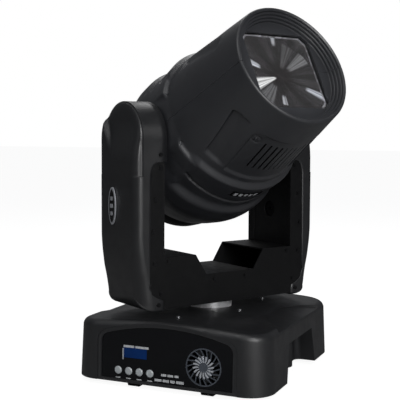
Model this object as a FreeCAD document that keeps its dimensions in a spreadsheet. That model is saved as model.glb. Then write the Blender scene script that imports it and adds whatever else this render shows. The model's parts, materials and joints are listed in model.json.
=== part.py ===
"""Moving head light: a faceted-horn beam head tilting in a sheet-metal yoke that pans on a moulded base.

Three frames are used, all in millimetres with +Z up at rest of the frame's own axis:
  base frame  origin on the pan axis at the base cover's bottom edge, control panel facing -Y
  yoke frame  the base frame turned about the pan axis, tilt axis along X
  head frame  origin on the tilt axis, X along the tilt axis, Z along the lens axis
"""

import FreeCAD
import Part
import math
import os
import re

import Sketcher

Vector = FreeCAD.Vector
Rotation = FreeCAD.Rotation
Placement = FreeCAD.Placement
X_AXIS, Y_AXIS, Z_AXIS = Vector(1, 0, 0), Vector(0, 1, 0), Vector(0, 0, 1)

DIMENSIONS = {
    # pose of the moving frames, degrees and millimetres
    "pan_rest": 58.93, "tilt_rest": 28.35, "tilt_height": 385.2, "foot_height": 10,
    # stock and clearances
    "wall": 3, "gauge": 2, "gap": 0.3, "running": 0.05,
    # base cover
    "base_half_width": 167.2, "base_half_depth": 178.9, "base_corner": 42, "base_crown": 101,
    "crown_radius": 1600, "base_edge": 12, "draft": 2, "neck_radius": 40,
    "grip_half_bottom": 78, "grip_half_top": 62, "grip_height": 61, "grip_depth": 35,
    "finger_radius": 20,
    "scoop_radius": 145, "scoop_start": 113, "scoop_slope": 11,
    # control panel and what it carries, in the leaning panel's own plane
    "panel_half": 113, "panel_sill": 5, "panel_arch": 92, "arch_radius": 364, "panel_corner": 15,
    "panel_gauge": 2.4, "panel_setback": 3, "panel_lip": 7,
    "display_x": -53.9, "display_level": 48.4, "display_width": 42, "display_height": 18,
    "button_first": -83.2, "button_pitch": 18.7, "button_level": 18.5, "button_radius": 6.3,
    "button_travel": 0.8,
    "fan_x": 64, "fan_level": 38, "grille_radius": 29.5, "grille_vanes": 18, "base_fan_size": 60,
    "base_fan_depth": 20,
    # base internals
    "plate_level": 3, "clamp_hole": 4.1, "clamp_x": 53, "clamp_y": 110, "foot_x": 64, "foot_y": 150,
    "supply_width": 60, "supply_length": 180, "supply_height": 40,
    "carrier_half": 60, "carrier_level": 66, "carrier_gauge": 4, "carrier_post": 50,
    "bearing_bore": 22.5, "bearing_radius": 37.5, "bearing_width": 16, "tube_bore": 17,
    "pan_motor_size": 56, "pan_motor_height": 41, "pan_motor_y": 100,
    "pan_pulley_radius": 40, "pan_drive_radius": 10, "pulley_width": 12, "pulley_level": 50,
    "belt_gauge": 1.5, "ring_radius": 37.9,
    # yoke
    "plate_half": 58.5, "arm_inner": 132.3, "arm_edge": 158.5, "arm_neck": 154.5, "arm_top": 349.3,
    "tab_edge": 133.4, "tab_top": 129.3, "yoke_bottom": 115.3, "step_top": 198.1,
    "recess_floor": 164.8, "recess_half_top": 70.3, "recess_half_floor": 49.2,
    "lug_radius": 48, "housing_radius": 27, "tilt_bearing_radius": 21, "tilt_bearing_width": 10,
    "trunnion_radius": 12.5, "trunnion_bore": 8,
    "cover_proud": 1.2, "cover_inner": 127.6, "cover_bottom": 112, "cover_foot": 171,
    "cover_side": 185, "cover_side_radius": 770, "cover_edge": 12, "badge_y": 10, "badge_level": 278,
    "flange_width": 17,
    "tilt_motor_size": 42, "tilt_motor_length": 24, "tilt_motor_level": 260,
    "tilt_pulley_radius": 30, "tilt_drive_radius": 10, "tilt_pulley_start": 161, "tilt_pulley_width": 8,
    # head
    "rim_front": 240.5, "rim_radius": 101.2, "lip": 4, "barrel_end": 118, "barrel_radius": 116.6,
    "cheek": 125, "shell_rear": -95, "lens_plane": 221.5, "lens_half": 65, "lens_chamfer": 11,
    "lens_gauge": 5, "horn_small": 12, "horn_rear": -50,
    "chassis_half_x": 112.6, "chassis_half_y": 46, "chassis_half_z": 60, "chassis_gauge": 4,
    "sink_radius": 74, "sink_depth": 50, "sink_fins": 13,
    "cap_rear": -182, "head_fan_size": 80, "head_fan_depth": 25, "head_fan_front": -125,
    "vent_half": 64.5, "vent_front": 184, "vent_rear": 103, "vent_slots": 9, "vent_pitch": 10, "vent_slot": 3.6,
    "vent_screw": 3.4, "vent_drop": 4,
}

doc = FreeCAD.newDocument("moving_head_light")
sheet = doc.addObject("Spreadsheet::Sheet", "dims")
nodes = {}


def fill_sheet():
    """Writes each driving dimension in a row of its own, with its name as the alias of its value."""
    for row, (alias, value) in enumerate(DIMENSIONS.items(), start=1):
        sheet.set(f"A{row}", alias)
        sheet.set(f"B{row}", str(value))
        sheet.setAlias(f"B{row}", alias)
    doc.recompute()


def bound(text):
    """The expression over aliases, written as the expression engine wants it."""
    return re.sub(r"[a-z]\w+", lambda word: "dims." + word[0] if word[0] in DIMENSIONS else word[0], str(text))


def size(text):
    """The number that an expression over aliases has now."""
    return float(sheet.evalExpression(bound(text)))


def negative(text):
    return f"-({text})"


# ---------------------------------------------------------------- placements of the three frames


def base_frame():
    """Puts the model's origin on the pan axis, on the underside of the floor plate."""
    return Placement(Vector(0, 0, size("-plate_level")), Rotation())


def panel_frame(turn=0):
    """Leans back by the cover's draft, its front surface a little behind the cover's face."""
    inset = Placement(Vector(0, -size("base_half_depth - panel_setback"), 0), Rotation(X_AXIS, -size("draft")))
    return base_frame().multiply(Placement(Vector(), Rotation(Z_AXIS, turn))).multiply(inset)


def yoke_frame():
    return base_frame().multiply(Placement(Vector(), Rotation(Z_AXIS, size("pan_rest"))))


def head_frame():
    tilt = Rotation(X_AXIS, 90 - size("tilt_rest"))
    return yoke_frame().multiply(Placement(Vector(0, 0, size("tilt_height")), tilt))


def half_turn(frame):
    return frame.multiply(Placement(Vector(), Rotation(Z_AXIS, 180)))


# ---------------------------------------------------------------- primitives bound to the sheet


def bind(obj, **sizes):
    for prop, text in sizes.items():
        obj.setExpression(prop.replace("__", "."), bound(text))
    return obj


def box(x0, x1, y0, y1, z0, z1):
    made = doc.addObject("Part::Box", "block")
    bind(made, Length=f"({x1}) - ({x0})", Width=f"({y1}) - ({y0})", Height=f"({z1}) - ({z0})")
    return bind(made, Placement__Base__x=x0, Placement__Base__y=y0, Placement__Base__z=z0)


def rod(radius, start, end, axis="z", across=("0", "0")):
    """A cylinder along an axis from start to end, centred on the two across coordinates."""
    made = doc.addObject("Part::Cylinder", "rod")
    bind(made, Radius=radius, Height=f"({end}) - ({start})")
    turn = {"x": Rotation(Y_AXIS, 90), "y": Rotation(X_AXIS, -90), "z": Rotation()}[axis]
    made.Placement = Placement(Vector(), turn)
    where = {"x": (start, *across), "y": (across[0], start, across[1]), "z": (*across, start)}[axis]
    return bind(made, Placement__Base__x=where[0], Placement__Base__y=where[1], Placement__Base__z=where[2])


def fuse(*shapes):
    made = doc.addObject("Part::MultiFuse", "fused")
    made.Shapes = list(shapes)
    return made


def common(*shapes):
    made = doc.addObject("Part::MultiCommon", "shared")
    made.Shapes = list(shapes)
    return made


def cut(base, *tools):
    made = doc.addObject("Part::Cut", "cut")
    made.Base = base
    made.Tool = tools[0] if len(tools) == 1 else fuse(*tools)
    return made


def rounded(base, radius, choose):
    """Rounds the edges that choose picks."""
    doc.recompute()
    made = doc.addObject("Part::Fillet", "rounded")
    made.Base = base
    picked = [i for i, edge in enumerate(base.Shape.Edges, start=1) if choose(edge)]
    made.Edges = [(i, size(radius), size(radius)) for i in picked]
    return made


def turned(obj, frame):
    """The same shape, moved into another place of its own frame."""
    made = doc.addObject("Part::Compound", "moved")
    made.Links = [obj]
    made.Placement = frame
    return made


def keep(node, obj, frame):
    """Names a finished piece and puts it where it belongs."""
    if obj.TypeId in ("Part::Box", "Part::Cylinder"):
        obj = turned(obj, Placement())
    obj.Label = node
    obj.Placement = frame
    nodes[node] = obj
    return obj


def group(node, shapes, frame):
    """Identical loose pieces that share one node."""
    made = doc.addObject("Part::Compound", node)
    made.Links = shapes
    return keep(node, made, frame)


# ---------------------------------------------------------------- sketches bound to the sheet


def new_body(name):
    return doc.addObject("PartDesign::Body", name)


def plane(body, role):
    return next(feature for feature in body.Origin.OriginFeatures if feature.Role == role)


def sketch_on(body, role, offset="0"):
    made = body.newObject("Sketcher::SketchObject", "sketch")
    made.AttachmentSupport = [(plane(body, role), "")]
    made.MapMode = "FlatFace"
    bind(made, AttachmentOffset__Base__z=offset)
    return made


def arc_between(a, b, radius):
    """A short arc from a to b. A positive radius bows it to the right of the way from a to b."""
    chord = b - a
    rise = math.sqrt(max(radius * radius - chord.Length ** 2 / 4, 0))
    left = Vector(-chord.y, chord.x, 0).normalize()
    centre = (a + b) * 0.5 + left * math.copysign(rise, radius)
    first, last = (a, b) if radius > 0 else (b, a)
    angles = [math.atan2(p.y - centre.y, p.x - centre.x) for p in (first, last)]
    return Part.ArcOfCircle(Part.Circle(centre, Z_AXIS, abs(radius)), *angles)


def outline(sketch, points):
    """A closed outline through points of two expressions. A third one makes the next stretch an arc of that radius."""
    corners = [Vector(size(p[0]), size(p[1]), 0) for p in points]
    starts, ends = [], []
    for i, point in enumerate(points):
        a, b = corners[i], corners[(i + 1) % len(points)]
        if len(point) == 3:
            radius = size(point[2])
            geometry = sketch.addGeometry(arc_between(a, b, radius))
            starts.append((geometry, 1 if radius > 0 else 2))
            ends.append((geometry, 2 if radius > 0 else 1))
            fixed = sketch.addConstraint(Sketcher.Constraint("Radius", geometry, abs(radius)))
            sketch.setExpression(f"Constraints[{fixed}]", bound(f"abs({point[2]})"))
        else:
            geometry = sketch.addGeometry(Part.LineSegment(a, b))
            starts.append((geometry, 1))
            ends.append((geometry, 2))
    for i, point in enumerate(points):
        sketch.addConstraint(Sketcher.Constraint("Coincident", *ends[i - 1], *starts[i]))
        for kind, text in (("DistanceX", point[0]), ("DistanceY", point[1])):
            fixed = sketch.addConstraint(Sketcher.Constraint(kind, -1, 1, *starts[i], size(text)))
            sketch.setExpression(f"Constraints[{fixed}]", bound(text))
    return sketch


def circle(sketch, radius, x="0", y="0"):
    centre = Vector(size(x), size(y), 0)
    geometry = sketch.addGeometry(Part.Circle(centre, Z_AXIS, size(radius)))
    for kind, text in (("DistanceX", x), ("DistanceY", y)):
        fixed = sketch.addConstraint(Sketcher.Constraint(kind, -1, 1, geometry, 3, size(text)))
        sketch.setExpression(f"Constraints[{fixed}]", bound(text))
    fixed = sketch.addConstraint(Sketcher.Constraint("Radius", geometry, size(radius)))
    sketch.setExpression(f"Constraints[{fixed}]", bound(radius))
    return sketch


def block_outline(half_x, half_y):
    return [(negative(half_x), negative(half_y)), (half_x, negative(half_y)), (half_x, half_y),
            (negative(half_x), half_y)]


def pad(body, sketch, length, both=False, taper="0", kind="PartDesign::Pad"):
    made = body.newObject(kind, "pad")
    made.Profile = sketch
    made.SideType = "Symmetric" if both else "One side"
    bind(made, Length=length, TaperAngle=taper)
    doc.recompute()
    return made


def pocket(body, sketch, length, both=False, reverse=False):
    """Cuts the outline into the body, and checks that something came off."""
    before = body.Shape.Volume
    made = pad(body, sketch, length, both, kind="PartDesign::Pocket")
    made.Reversed = reverse
    doc.recompute()
    if not body.Shape.Volume < before:
        raise RuntimeError(f"a pocket in {body.Name} cuts nothing")
    return made


def revolve(body, sketch, kind="PartDesign::Revolution", angle="360", axis="V_Axis"):
    made = body.newObject(kind, "turned")
    made.Profile = sketch
    made.ReferenceAxis = (sketch, [axis])
    bind(made, Angle=angle)
    doc.recompute()
    return made


def repeat(body, feature, count, axis="Z_Axis"):
    made = body.newObject("PartDesign::PolarPattern", "pattern")
    made.Originals = [feature]
    made.Axis = (plane(body, axis), [""])
    bind(made, Angle="360", Occurrences=count)
    body.Tip = made
    doc.recompute()
    return made


def body_fillet(body, radius, choose):
    """Rounds the edges that choose picks, with the radius bound to the sheet."""
    doc.recompute()
    base = body.Tip
    names = [f"Edge{i}" for i, edge in enumerate(base.Shape.Edges, start=1) if choose(edge)]
    made = body.newObject("PartDesign::Fillet", "fillet")
    made.Base = (base, names)
    bind(made, Radius=radius)
    doc.recompute()
    return made


def revolved(name, points, angle="360"):
    """A turned body: points are (radius, height) pairs of the half section."""
    body = new_body(name)
    revolve(body, outline(sketch_on(body, "XZ_Plane"), points), angle=angle)
    return body


def middle(edge):
    return edge.valueAt((edge.FirstParameter + edge.LastParameter) / 2)


def upright(edge):
    """True for an edge that climbs from the bottom plane, drafted or not."""
    a, b = edge.Vertexes[0].Point, edge.Vertexes[-1].Point
    return abs(a.z - b.z) > 0.9 * (a - b).Length and (a - b).Length > 1


# ---------------------------------------------------------------- base


def cover_block(inset):
    """The base's drafted block with round corners, a slightly crowned top and a rounded top edge."""
    body = new_body("cover_block")
    flat = sketch_on(body, "XY_Plane")
    outline(flat, block_outline(f"base_half_width - {inset}", f"base_half_depth - {inset}"))
    pad(body, flat, "base_crown + wall", taper="-draft")
    body_fillet(body, f"base_corner - {inset}", upright)
    crown = rod("crown_radius", "-base_half_depth - wall", "base_half_depth + wall", "y",
                ("0", f"base_crown - {inset} - crown_radius"))
    top = size(f"base_crown - {inset}")
    return rounded(common(body, crown), f"base_edge - {inset}",
                   lambda edge: top - 12 < middle(edge).z < top and not upright(edge))


def grip(grow, side):
    """The hand recess in one side: a tapered arch open to the floor."""
    grow = f"({grow})"
    body = new_body("grip")
    arch = [(f"-grip_half_bottom - {grow}", "-wall"), (f"grip_half_bottom + {grow}", "-wall"),
            (f"grip_half_top + {grow}", f"grip_height + {grow}"),
            (f"-grip_half_top - {grow}", f"grip_height + {grow}")]
    side_sketch = outline(sketch_on(body, "YZ_Plane", f"base_half_width - grip_depth - {grow}"), arch)
    pad(body, side_sketch, "grip_depth + base_corner")
    body_fillet(body, "base_edge", lambda edge: middle(edge).z > 5 and middle(edge).x < size("base_half_width"))
    fingers = [rod(f"finger_radius - {grow}", "-2 * wall", "grip_height + 2 * wall", "z",
                   ("base_half_width - grip_depth - finger_radius / 2", y)) for y in ("24", "-24")]
    return turned(cut(body, *fingers), Placement(Vector(), Rotation(Z_AXIS, 0 if side > 0 else 180)))


def scoop(grow, side):
    """The shallow hollow above each hand recess: a round boundary over a slope that falls outwards."""
    boundary = rod(f"scoop_radius + {grow}", "0", "base_crown + base_corner", "z",
                   ("scoop_start + scoop_radius", "0"))
    slope = doc.addObject("Part::Box", "slope")
    bind(slope, Length="3 * scoop_radius", Width="3 * scoop_radius", Height="base_corner")
    lean = Rotation(Y_AXIS, size("scoop_slope"))
    level = size(f"base_crown - {grow} - scoop_start ^ 2 / (2 * crown_radius)")
    lead = lean.multVec(Vector(-20, -1.5 * size("scoop_radius"), 0))
    slope.Placement = Placement(Vector(size("scoop_start"), 0, level) + lead, lean)
    both = common(boundary, slope)
    both.Placement = Placement(Vector(), Rotation(Z_AXIS, 0 if side > 0 else 180))
    return both


def arch_window(shrink, front, back):
    """The arched outline that both end panels share, as a slab from front to back."""
    shrink = f"({shrink})"
    slab = box(f"-panel_half + {shrink}", f"panel_half - {shrink}", front, back,
               f"panel_sill + {shrink}", f"panel_arch + wall - {shrink}")
    roof = rod(f"arch_radius - {shrink}", front, back, "y", ("0", "panel_arch - arch_radius"))
    return rounded(common(slab, roof), f"panel_corner - {shrink}",
                   lambda edge: 60 < middle(edge).z < 97 and abs(edge.Vertexes[0].Y - edge.Vertexes[-1].Y) > 1)


def in_base(obj, frame):
    """The same shape seen from the base frame."""
    return turned(obj, base_frame().inverse().multiply(frame))


def base_cover():
    sides = (1, -1)
    windows = [in_base(arch_window(*spread), panel_frame(turn)) for turn in (0, 180)
               for spread in (("0", "-base_corner", "base_corner"), ("-panel_lip", "-base_corner", "-panel_setback + 1"))]
    outside = cut(cover_block("0"), *[grip("0", s) for s in sides], *[scoop("0", s) for s in sides])
    inside = cut(cover_block("wall"), *[grip("wall", s) for s in sides], *[scoop("wall", s) for s in sides])
    neck = rod("neck_radius", "0", "base_crown + wall")
    holes = [rod("1.7", "base_crown - 4 * wall", "base_crown + wall", "z", spot) for spot in cover_screw_spots()]
    keep("base_cover", cut(outside, inside, neck, *windows, *holes), base_frame())


def cover_screw_spots():
    return [("66", "-27"), ("-66", "-27"), ("66", "85"), ("-66", "85"), ("0", "-128"), ("0", "128")]


def screw(radius, length, head, spot, axis="z", sign=1, start="0"):
    """A pan head screw. Its head's underside is at start, and its shank runs back from there."""
    if sign > 0:
        stem = rod(radius, f"{start} - {length}", f"{start} + 0.5", axis, spot)
        cap = rod(head, start, f"{start} + 0.55 * {head}", axis, spot)
    else:
        stem = rod(radius, f"{start} - 0.5", f"{start} + {length}", axis, spot)
        cap = rod(head, f"{start} - 0.55 * {head}", start, axis, spot)
    return fuse(stem, cap)


def cover_screws():
    made = []
    for x, y in cover_screw_spots():
        level = f"base_crown - ({x}) ^ 2 / (2 * crown_radius) + 0.2"
        made.append(screw("1.5", "3 * wall", "3.5", (x, y), start=level))
    group("cover_screws", made, base_frame())


def base_plate():
    """The steel floor, notched round the hand recesses, with the clamp holes and the feet's screw holes."""
    body = new_body("floor")
    fit = "wall + gap + plate_level * tan(draft)"
    flat = outline(sketch_on(body, "XY_Plane", "plate_level"),
                   block_outline(f"base_half_width - ({fit})", f"base_half_depth - ({fit}) - 3"))
    pad(body, flat, "gauge")
    body_fillet(body, "base_corner - wall", upright)
    holes = [rod("clamp_hole", "0", "3 * gauge + wall", "z", spot) for spot in corners("clamp_x", "clamp_y")]
    holes += [rod("2.2", "0", "3 * gauge + wall", "z", spot) for spot in corners("foot_x", "foot_y")]
    keep("base_plate", cut(body, *holes, *[grip("wall + gap", s) for s in (1, -1)]), base_frame())


def corners(x, y):
    return [(x, y), (negative(x), y), (x, negative(y)), (negative(x), negative(y))]


def feet():
    """Tapered rubber blocks under the floor, each hollowed for its screw's head."""
    made = []
    for x, y in corners("foot_x", "foot_y"):
        wedge = doc.addObject("Part::Wedge", "foot")
        top = {"Xmin": "-14", "Xmax": "14", "Zmin": "-11", "Zmax": "11", "Ymax": "foot_height + plate_level"}
        bottom = {"X2min": "-10", "X2max": "10", "Z2min": "-9", "Z2max": "9", "Ymin": "0"}
        bind(wedge, **top, **bottom)
        wedge.Placement = Placement(Vector(), Rotation(X_AXIS, -90))
        bind(wedge, Placement__Base__x=x, Placement__Base__y=y, Placement__Base__z="plate_level")
        head_room = rod("4.6", "-foot_height - 1", "-2", "z", (x, y))
        made.append(cut(wedge, head_room, rod("2.2", "-3", "plate_level + 1", "z", (x, y))))
    group("feet", made, base_frame())


def foot_screws():
    made = [screw("2.1", "plate_level + gauge + 4", "4.2", spot, sign=-1, start="-2")
            for spot in corners("foot_x", "foot_y")]
    group("foot_screws", made, base_frame())


def front_panel():
    panel = arch_window("gap", "0", "panel_gauge")
    window = box("display_x - display_width / 2", "display_x + display_width / 2", "-1", "panel_gauge + 1",
                 "display_level - display_height / 2", "display_level + display_height / 2")
    holes = [rod("button_radius + running", "-1", "panel_gauge + 1", "y", (button_x(i), "button_level"))
             for i in range(4)]
    fan_hole = rod("grille_radius + running", "-1", "panel_gauge + 1", "y", ("fan_x", "fan_level"))
    keep("front_panel", cut(panel, window, fan_hole, *holes), panel_frame())


def button_x(index):
    return f"button_first + {index} * button_pitch"


def buttons():
    """Four menu buttons: a domed cap through the panel, a collar behind it and a stem to its switch."""
    for i in range(4):
        body = new_body(f"button_{i + 1}")
        profile = [("0", "-1.8"), ("button_radius - 1.5", "-1.8"), ("button_radius", "-0.6"),
                   ("button_radius", "panel_gauge + 0.2"), ("button_radius + 1.4", "panel_gauge + 0.2"),
                   ("button_radius + 1.4", "panel_gauge + 1.2"), ("2", "panel_gauge + 1.2"), ("2", "7.5"), ("0", "7.5")]
        revolve(body, outline(sketch_on(body, "XY_Plane"), profile))
        spot = Placement(Vector(size(button_x(i)), 0, size("button_level")), Rotation())
        keep(f"button_{i + 1}", body, panel_frame().multiply(spot))


def display():
    """The display: its lit face fills the panel's window, and its bezel sits behind."""
    half_x, half_z = "display_width / 2 - gap", "display_height / 2 - gap"
    face = box(f"display_x - ({half_x})", f"display_x + {half_x}", "0.6", "panel_gauge + 2",
               f"display_level - ({half_z})", f"display_level + {half_z}")
    case = box(f"display_x - ({half_x}) - 8", f"display_x + {half_x} + 5", "panel_gauge + gap", "9",
               f"display_level - ({half_z}) - 3", f"display_level + {half_z} + 6")
    keep("display", fuse(face, case), panel_frame())


def control_board():
    board = box("-102", "-2", "11", "12.6", "9", "76")
    switches = [rod("3", "8.6", "11.5", "y", (button_x(i), "button_level")) for i in range(4)]
    chip = box("-40", "-20", "12", "15", "50", "66")
    keep("control_board", fuse(board, chip, *switches), panel_frame())


def fan_grille():
    """The round guard over the base fan: rim, hub and raked vanes."""
    body = new_body("fan_grille")
    rim = circle(circle(sketch_on(body, "XZ_Plane"), "grille_radius"), "grille_radius - 2")
    pad(body, rim, "panel_gauge", both=True)
    vane = outline(sketch_on(body, "XZ_Plane"),
                   [("5", "-0.7"), ("17", "1.3"), ("grille_radius - 3", "9.5"), ("grille_radius - 4", "11"),
                    ("16.5", "3"), ("5", "1")])
    repeat(body, pad(body, vane, "panel_gauge", both=True), "grille_vanes", "Y_Axis")
    hub = circle(sketch_on(body, "XZ_Plane"), "7")
    pad(body, hub, "panel_gauge + 0.6", both=True)
    spot = Placement(Vector(size("fan_x"), size("panel_gauge / 2"), size("fan_level")), Rotation())
    keep("fan_grille", body, panel_frame().multiply(spot))


def fan_frame(name, length, depth):
    """A square fan housing with a round duct, and a motor seat carried on three struts at the back."""
    body = new_body(name)
    pad(body, outline(sketch_on(body, "XY_Plane"), block_outline(f"{length} / 2", f"{length} / 2")), depth)
    body_fillet(body, "3", upright)
    pocket(body, circle(sketch_on(body, "XY_Plane"), f"{length} / 2 - 1.5"), depth, reverse=True)
    seat = circle(sketch_on(body, "XY_Plane"), f"{length} / 5")
    pad(body, seat, "2.5")
    strut = outline(sketch_on(body, "XY_Plane"), [("0", "-2"), (f"{length} / 2 - 1", "-2"), (f"{length} / 2 - 1", "2"),
                                                  ("0", "2")])
    repeat(body, pad(body, strut, "2.5"), "3")
    return body


def fan_rotor(name, length, depth):
    """Hub and seven raked blades that clear the duct."""
    body = new_body(name)
    pad(body, circle(sketch_on(body, "XY_Plane"), f"{length} / 5"), f"{depth} - 5")
    blade = outline(sketch_on(body, "XY_Plane"),
                    [(f"{length} / 6", "-1"), (f"{length} / 2 - 4", f"{length} / 12"),
                     (f"{length} / 2 - 7", f"{length} / 5"), (f"{length} / 6", f"{length} / 12")])
    repeat(body, pad(body, blade, f"{depth} - 8"), "7")
    return body


def base_fan():
    """The duct lies behind the grille, with the motor seat on the far side."""
    away = Rotation(X_AXIS, 90)
    back = Placement(Vector(size("fan_x"), size("panel_gauge + 2 + base_fan_depth"), size("fan_level")), away)
    keep("base_fan_frame", fan_frame("duct", "base_fan_size", "base_fan_depth"), panel_frame().multiply(back))
    spin = Placement(Vector(size("fan_x"), size("panel_gauge - 1.5 + base_fan_depth"), size("fan_level")), away)
    keep("base_fan_rotor", fan_rotor("rotor", "base_fan_size", "base_fan_depth"), panel_frame().multiply(spin))


def rear_panel():
    """The connector plate fills the same arch at the back."""
    plate = arch_window("gap", "0", "panel_gauge")
    inlet = box("-85", "-57", "-1", "panel_gauge + 1", "25", "49")
    sockets = [rod("11.7", "-1", "panel_gauge + 1", "y", (x, "37")) for x in socket_places()]
    fuse_hole = rod("6.7", "-1", "panel_gauge + 1", "y", ("-30", "37"))
    keep("rear_panel", cut(plate, inlet, fuse_hole, *sockets), panel_frame(180))


def socket_places():
    return ("20", "62")


def rear_sockets():
    """Power inlet, fuse carrier and the two data sockets, each through its hole from outside."""
    inlet = cut(fuse(box("-84.7", "-57.3", "-1.5", "22", "25.3", "48.7"), box("-92", "-50", "-2", "-0.1", "22", "52")),
                box("-80", "-62", "-3", "14", "30", "44"))
    pins = [box(f"{x} - 1", f"{x} + 1", "0", "15", "35", "39") for x in ("-76", "-71", "-66")]
    keep("power_inlet", fuse(inlet, *pins), panel_frame(180))
    holder = fuse(rod("6.6", "-0.5", "25", "y", ("-30", "37")), rod("8.5", "-8", "-0.1", "y", ("-30", "37")))
    keep("fuse_holder", holder, panel_frame(180))
    made = []
    for x in socket_places():
        shell = fuse(rod("11.6", "-0.5", "20", "y", (x, "37")),
                     box(f"{x} - 13", f"{x} + 13", "-2", "-0.1", "21.5", "52.5"))
        made.append(cut(shell, rod("8.5", "-3", "14", "y", (x, "37"))))
    group("data_sockets", made, panel_frame(180))


def power_supply():
    """A cased supply beside the pan drive, on the floor."""
    case = box("-65 - supply_width", "-65", "-80", "supply_length - 80", "plate_level + gauge + 3",
               "plate_level + gauge + 3 + supply_height")
    legs = [rod("4", "plate_level + gauge", "plate_level + gauge + 4", "z", (x, y))
            for x in ("-115", "-75") for y in ("-70", "90")]
    keep("power_supply", fuse(case, *legs), base_frame())


def driver_board():
    board = box("66", "122", "-70", "95", "18", "19.6")
    legs = [rod("3", "plate_level + gauge", "18.5", "z", (x, y)) for x in ("70", "118") for y in ("-66", "91")]
    parts = [box("76", "92", "-40", "-10", "19", "30"), box("98", "114", "10", "50", "19", "27")]
    keep("driver_board", fuse(board, *legs, *parts), base_frame())


def pan_carrier():
    """The bridge over the pan drive: a plate on four posts with the bearing's cup on top."""
    half = "carrier_half"
    table = box(negative(half), half, negative(half), half, "carrier_level", "carrier_level + carrier_gauge")
    cup = rod("neck_radius + 8", "carrier_level", "carrier_level + carrier_gauge + bearing_width + 2")
    posts = [rod("6", "plate_level + gauge", "carrier_level + 1", "z", spot)
             for spot in corners("carrier_post", "carrier_post")]
    seat = rod("bearing_radius", "carrier_level + carrier_gauge", "base_crown")
    through = rod("bearing_radius - 6", "carrier_level - 1", "base_crown")
    keep("pan_carrier", cut(fuse(table, cup, *posts), seat, through), base_frame())


def bearing(name, bore, radius, width):
    """A sealed ball bearing, its rings and shield as one ring with shallow shield grooves."""
    thick = f"({radius} - {bore})"
    inner, outer = f"{bore} + 0.28 * {thick}", f"{radius} - 0.28 * {thick}"
    return revolved(name, [(bore, "0"), (inner, "0"), (inner, "0.5"), (outer, "0.5"), (outer, "0"), (radius, "0"),
                           (radius, width), (outer, width), (outer, f"{width} - 0.5"),
                           (inner, f"{width} - 0.5"), (inner, width), (bore, width)])


def pan_bearing():
    spot = Placement(Vector(0, 0, size("carrier_level + carrier_gauge")), Rotation())
    keep("pan_bearing", bearing("ball_bearing", "bearing_bore", "bearing_radius", "bearing_width"),
         base_frame().multiply(spot))


def motor(length, height, hole):
    """A square stepper motor standing on its back, with a pilot boss round its shaft hole."""
    body = new_body("motor")
    pad(body, outline(sketch_on(body, "XY_Plane"), block_outline(f"{length} / 2", f"{length} / 2")), height)
    body_fillet(body, f"{length} / 10", upright)
    pad(body, circle(sketch_on(body, "XY_Plane"), f"{length} / 3"), f"{height} + 1.5")
    pocket(body, circle(sketch_on(body, "XY_Plane"), hole), f"{height} + 2", reverse=True)
    return body


def drive_pulley(radius, shaft, start, end, bottom):
    """A motor shaft with its small flanged pulley, from the shaft's lower end at bottom."""
    flange = f"{radius} + 2"
    return revolved("drive", [("0", bottom), (shaft, bottom), (shaft, f"{start} - 1.2"), (flange, f"{start} - 1.2"),
                              (flange, f"{start} - 0.2"), (radius, f"{start} - 0.2"), (radius, f"{end} + 0.2"),
                              (flange, f"{end} + 0.2"), (flange, f"{end} + 1.2"), ("0", f"{end} + 1.2")])


def belt(radius_a, radius_b, centres, width):
    """A flat loop round two pulleys, a hair clear of both, from the first one's centre along Y."""
    loops = []
    for extra in ("running", "running + belt_gauge"):
        first, second = size(f"{radius_a} + {extra}"), size(f"{radius_b} + {extra}")
        lean = math.asin((first - second) / size(centres))
        tangent = Vector(math.cos(lean), math.sin(lean), 0)
        away = Vector(0, size(centres), 0)
        flip = Vector(-tangent.x, tangent.y, 0)
        corner_points = [tangent * first, away + tangent * second, away + flip * second, flip * first]
        far = Part.Arc(corner_points[1], away + Y_AXIS * second, corner_points[2]).toShape()
        near = Part.Arc(corner_points[3], Y_AXIS * -first, corner_points[0]).toShape()
        sides = [Part.makeLine(corner_points[0], corner_points[1]), Part.makeLine(corner_points[2], corner_points[3])]
        wire = Part.Wire([sides[0], far, sides[1], near])
        loops.append(Part.Face(wire).extrude(Z_AXIS * size(width)))
    made = doc.addObject("Part::Feature", "belt")
    made.Shape = loops[1].cut(loops[0])
    return made


def pan_drive():
    """Motor, small pulley, belt and the big pulley on the pan tube."""
    centre = Vector(0, size("pan_motor_y"), 0)
    floor_top = size("plate_level + gauge")
    stand = base_frame().multiply(Placement(centre + Z_AXIS * floor_top, Rotation()))
    keep("pan_motor", motor("pan_motor_size", "pan_motor_height", "4 + running"), stand)
    small = drive_pulley("pan_drive_radius", "4", "pulley_level + 1.5", "pulley_level + pulley_width - 1.5",
                         "plate_level + gauge + 4")
    keep("pan_motor_pulley", small, base_frame().multiply(Placement(centre, Rotation())))
    loop = belt("pan_pulley_radius", "pan_drive_radius", "pan_motor_y", "pulley_width - 3")
    keep("pan_belt", loop, base_frame().multiply(Placement(Z_AXIS * size("pulley_level + 1.5"), Rotation())))


# ---------------------------------------------------------------- yoke


def pan_tube():
    """The hollow pan shaft below the yoke and the bright ring that shows above the base."""
    fit = "bearing_bore - running"
    ring_bottom = "carrier_level + carrier_gauge + bearing_width + 6"
    keep("pan_tube", revolved("tube", [("tube_bore", "pulley_level - 4"), (fit, "pulley_level - 4"), (fit, ring_bottom),
                                       ("ring_radius", ring_bottom), ("ring_radius", "yoke_bottom"),
                                       ("tube_bore", "yoke_bottom")]), yoke_frame())


def pan_pulley():
    rim, hub = "pan_pulley_radius", "bearing_bore + 6"
    low, high = "pulley_level", "pulley_level + pulley_width"
    fit = "bearing_bore - running"
    keep("pan_pulley", revolved("wheel", [(fit, low), (hub, low), (hub, f"{low} + 4"), (f"{rim} - 4", f"{low} + 4"),
                                          (f"{rim} - 4", low), (rim, low), (rim, high), (f"{rim} - 4", high),
                                          (f"{rim} - 4", f"{high} - 4"), (hub, f"{high} - 4"), (hub, high),
                                          (fit, high)]), yoke_frame())


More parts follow.
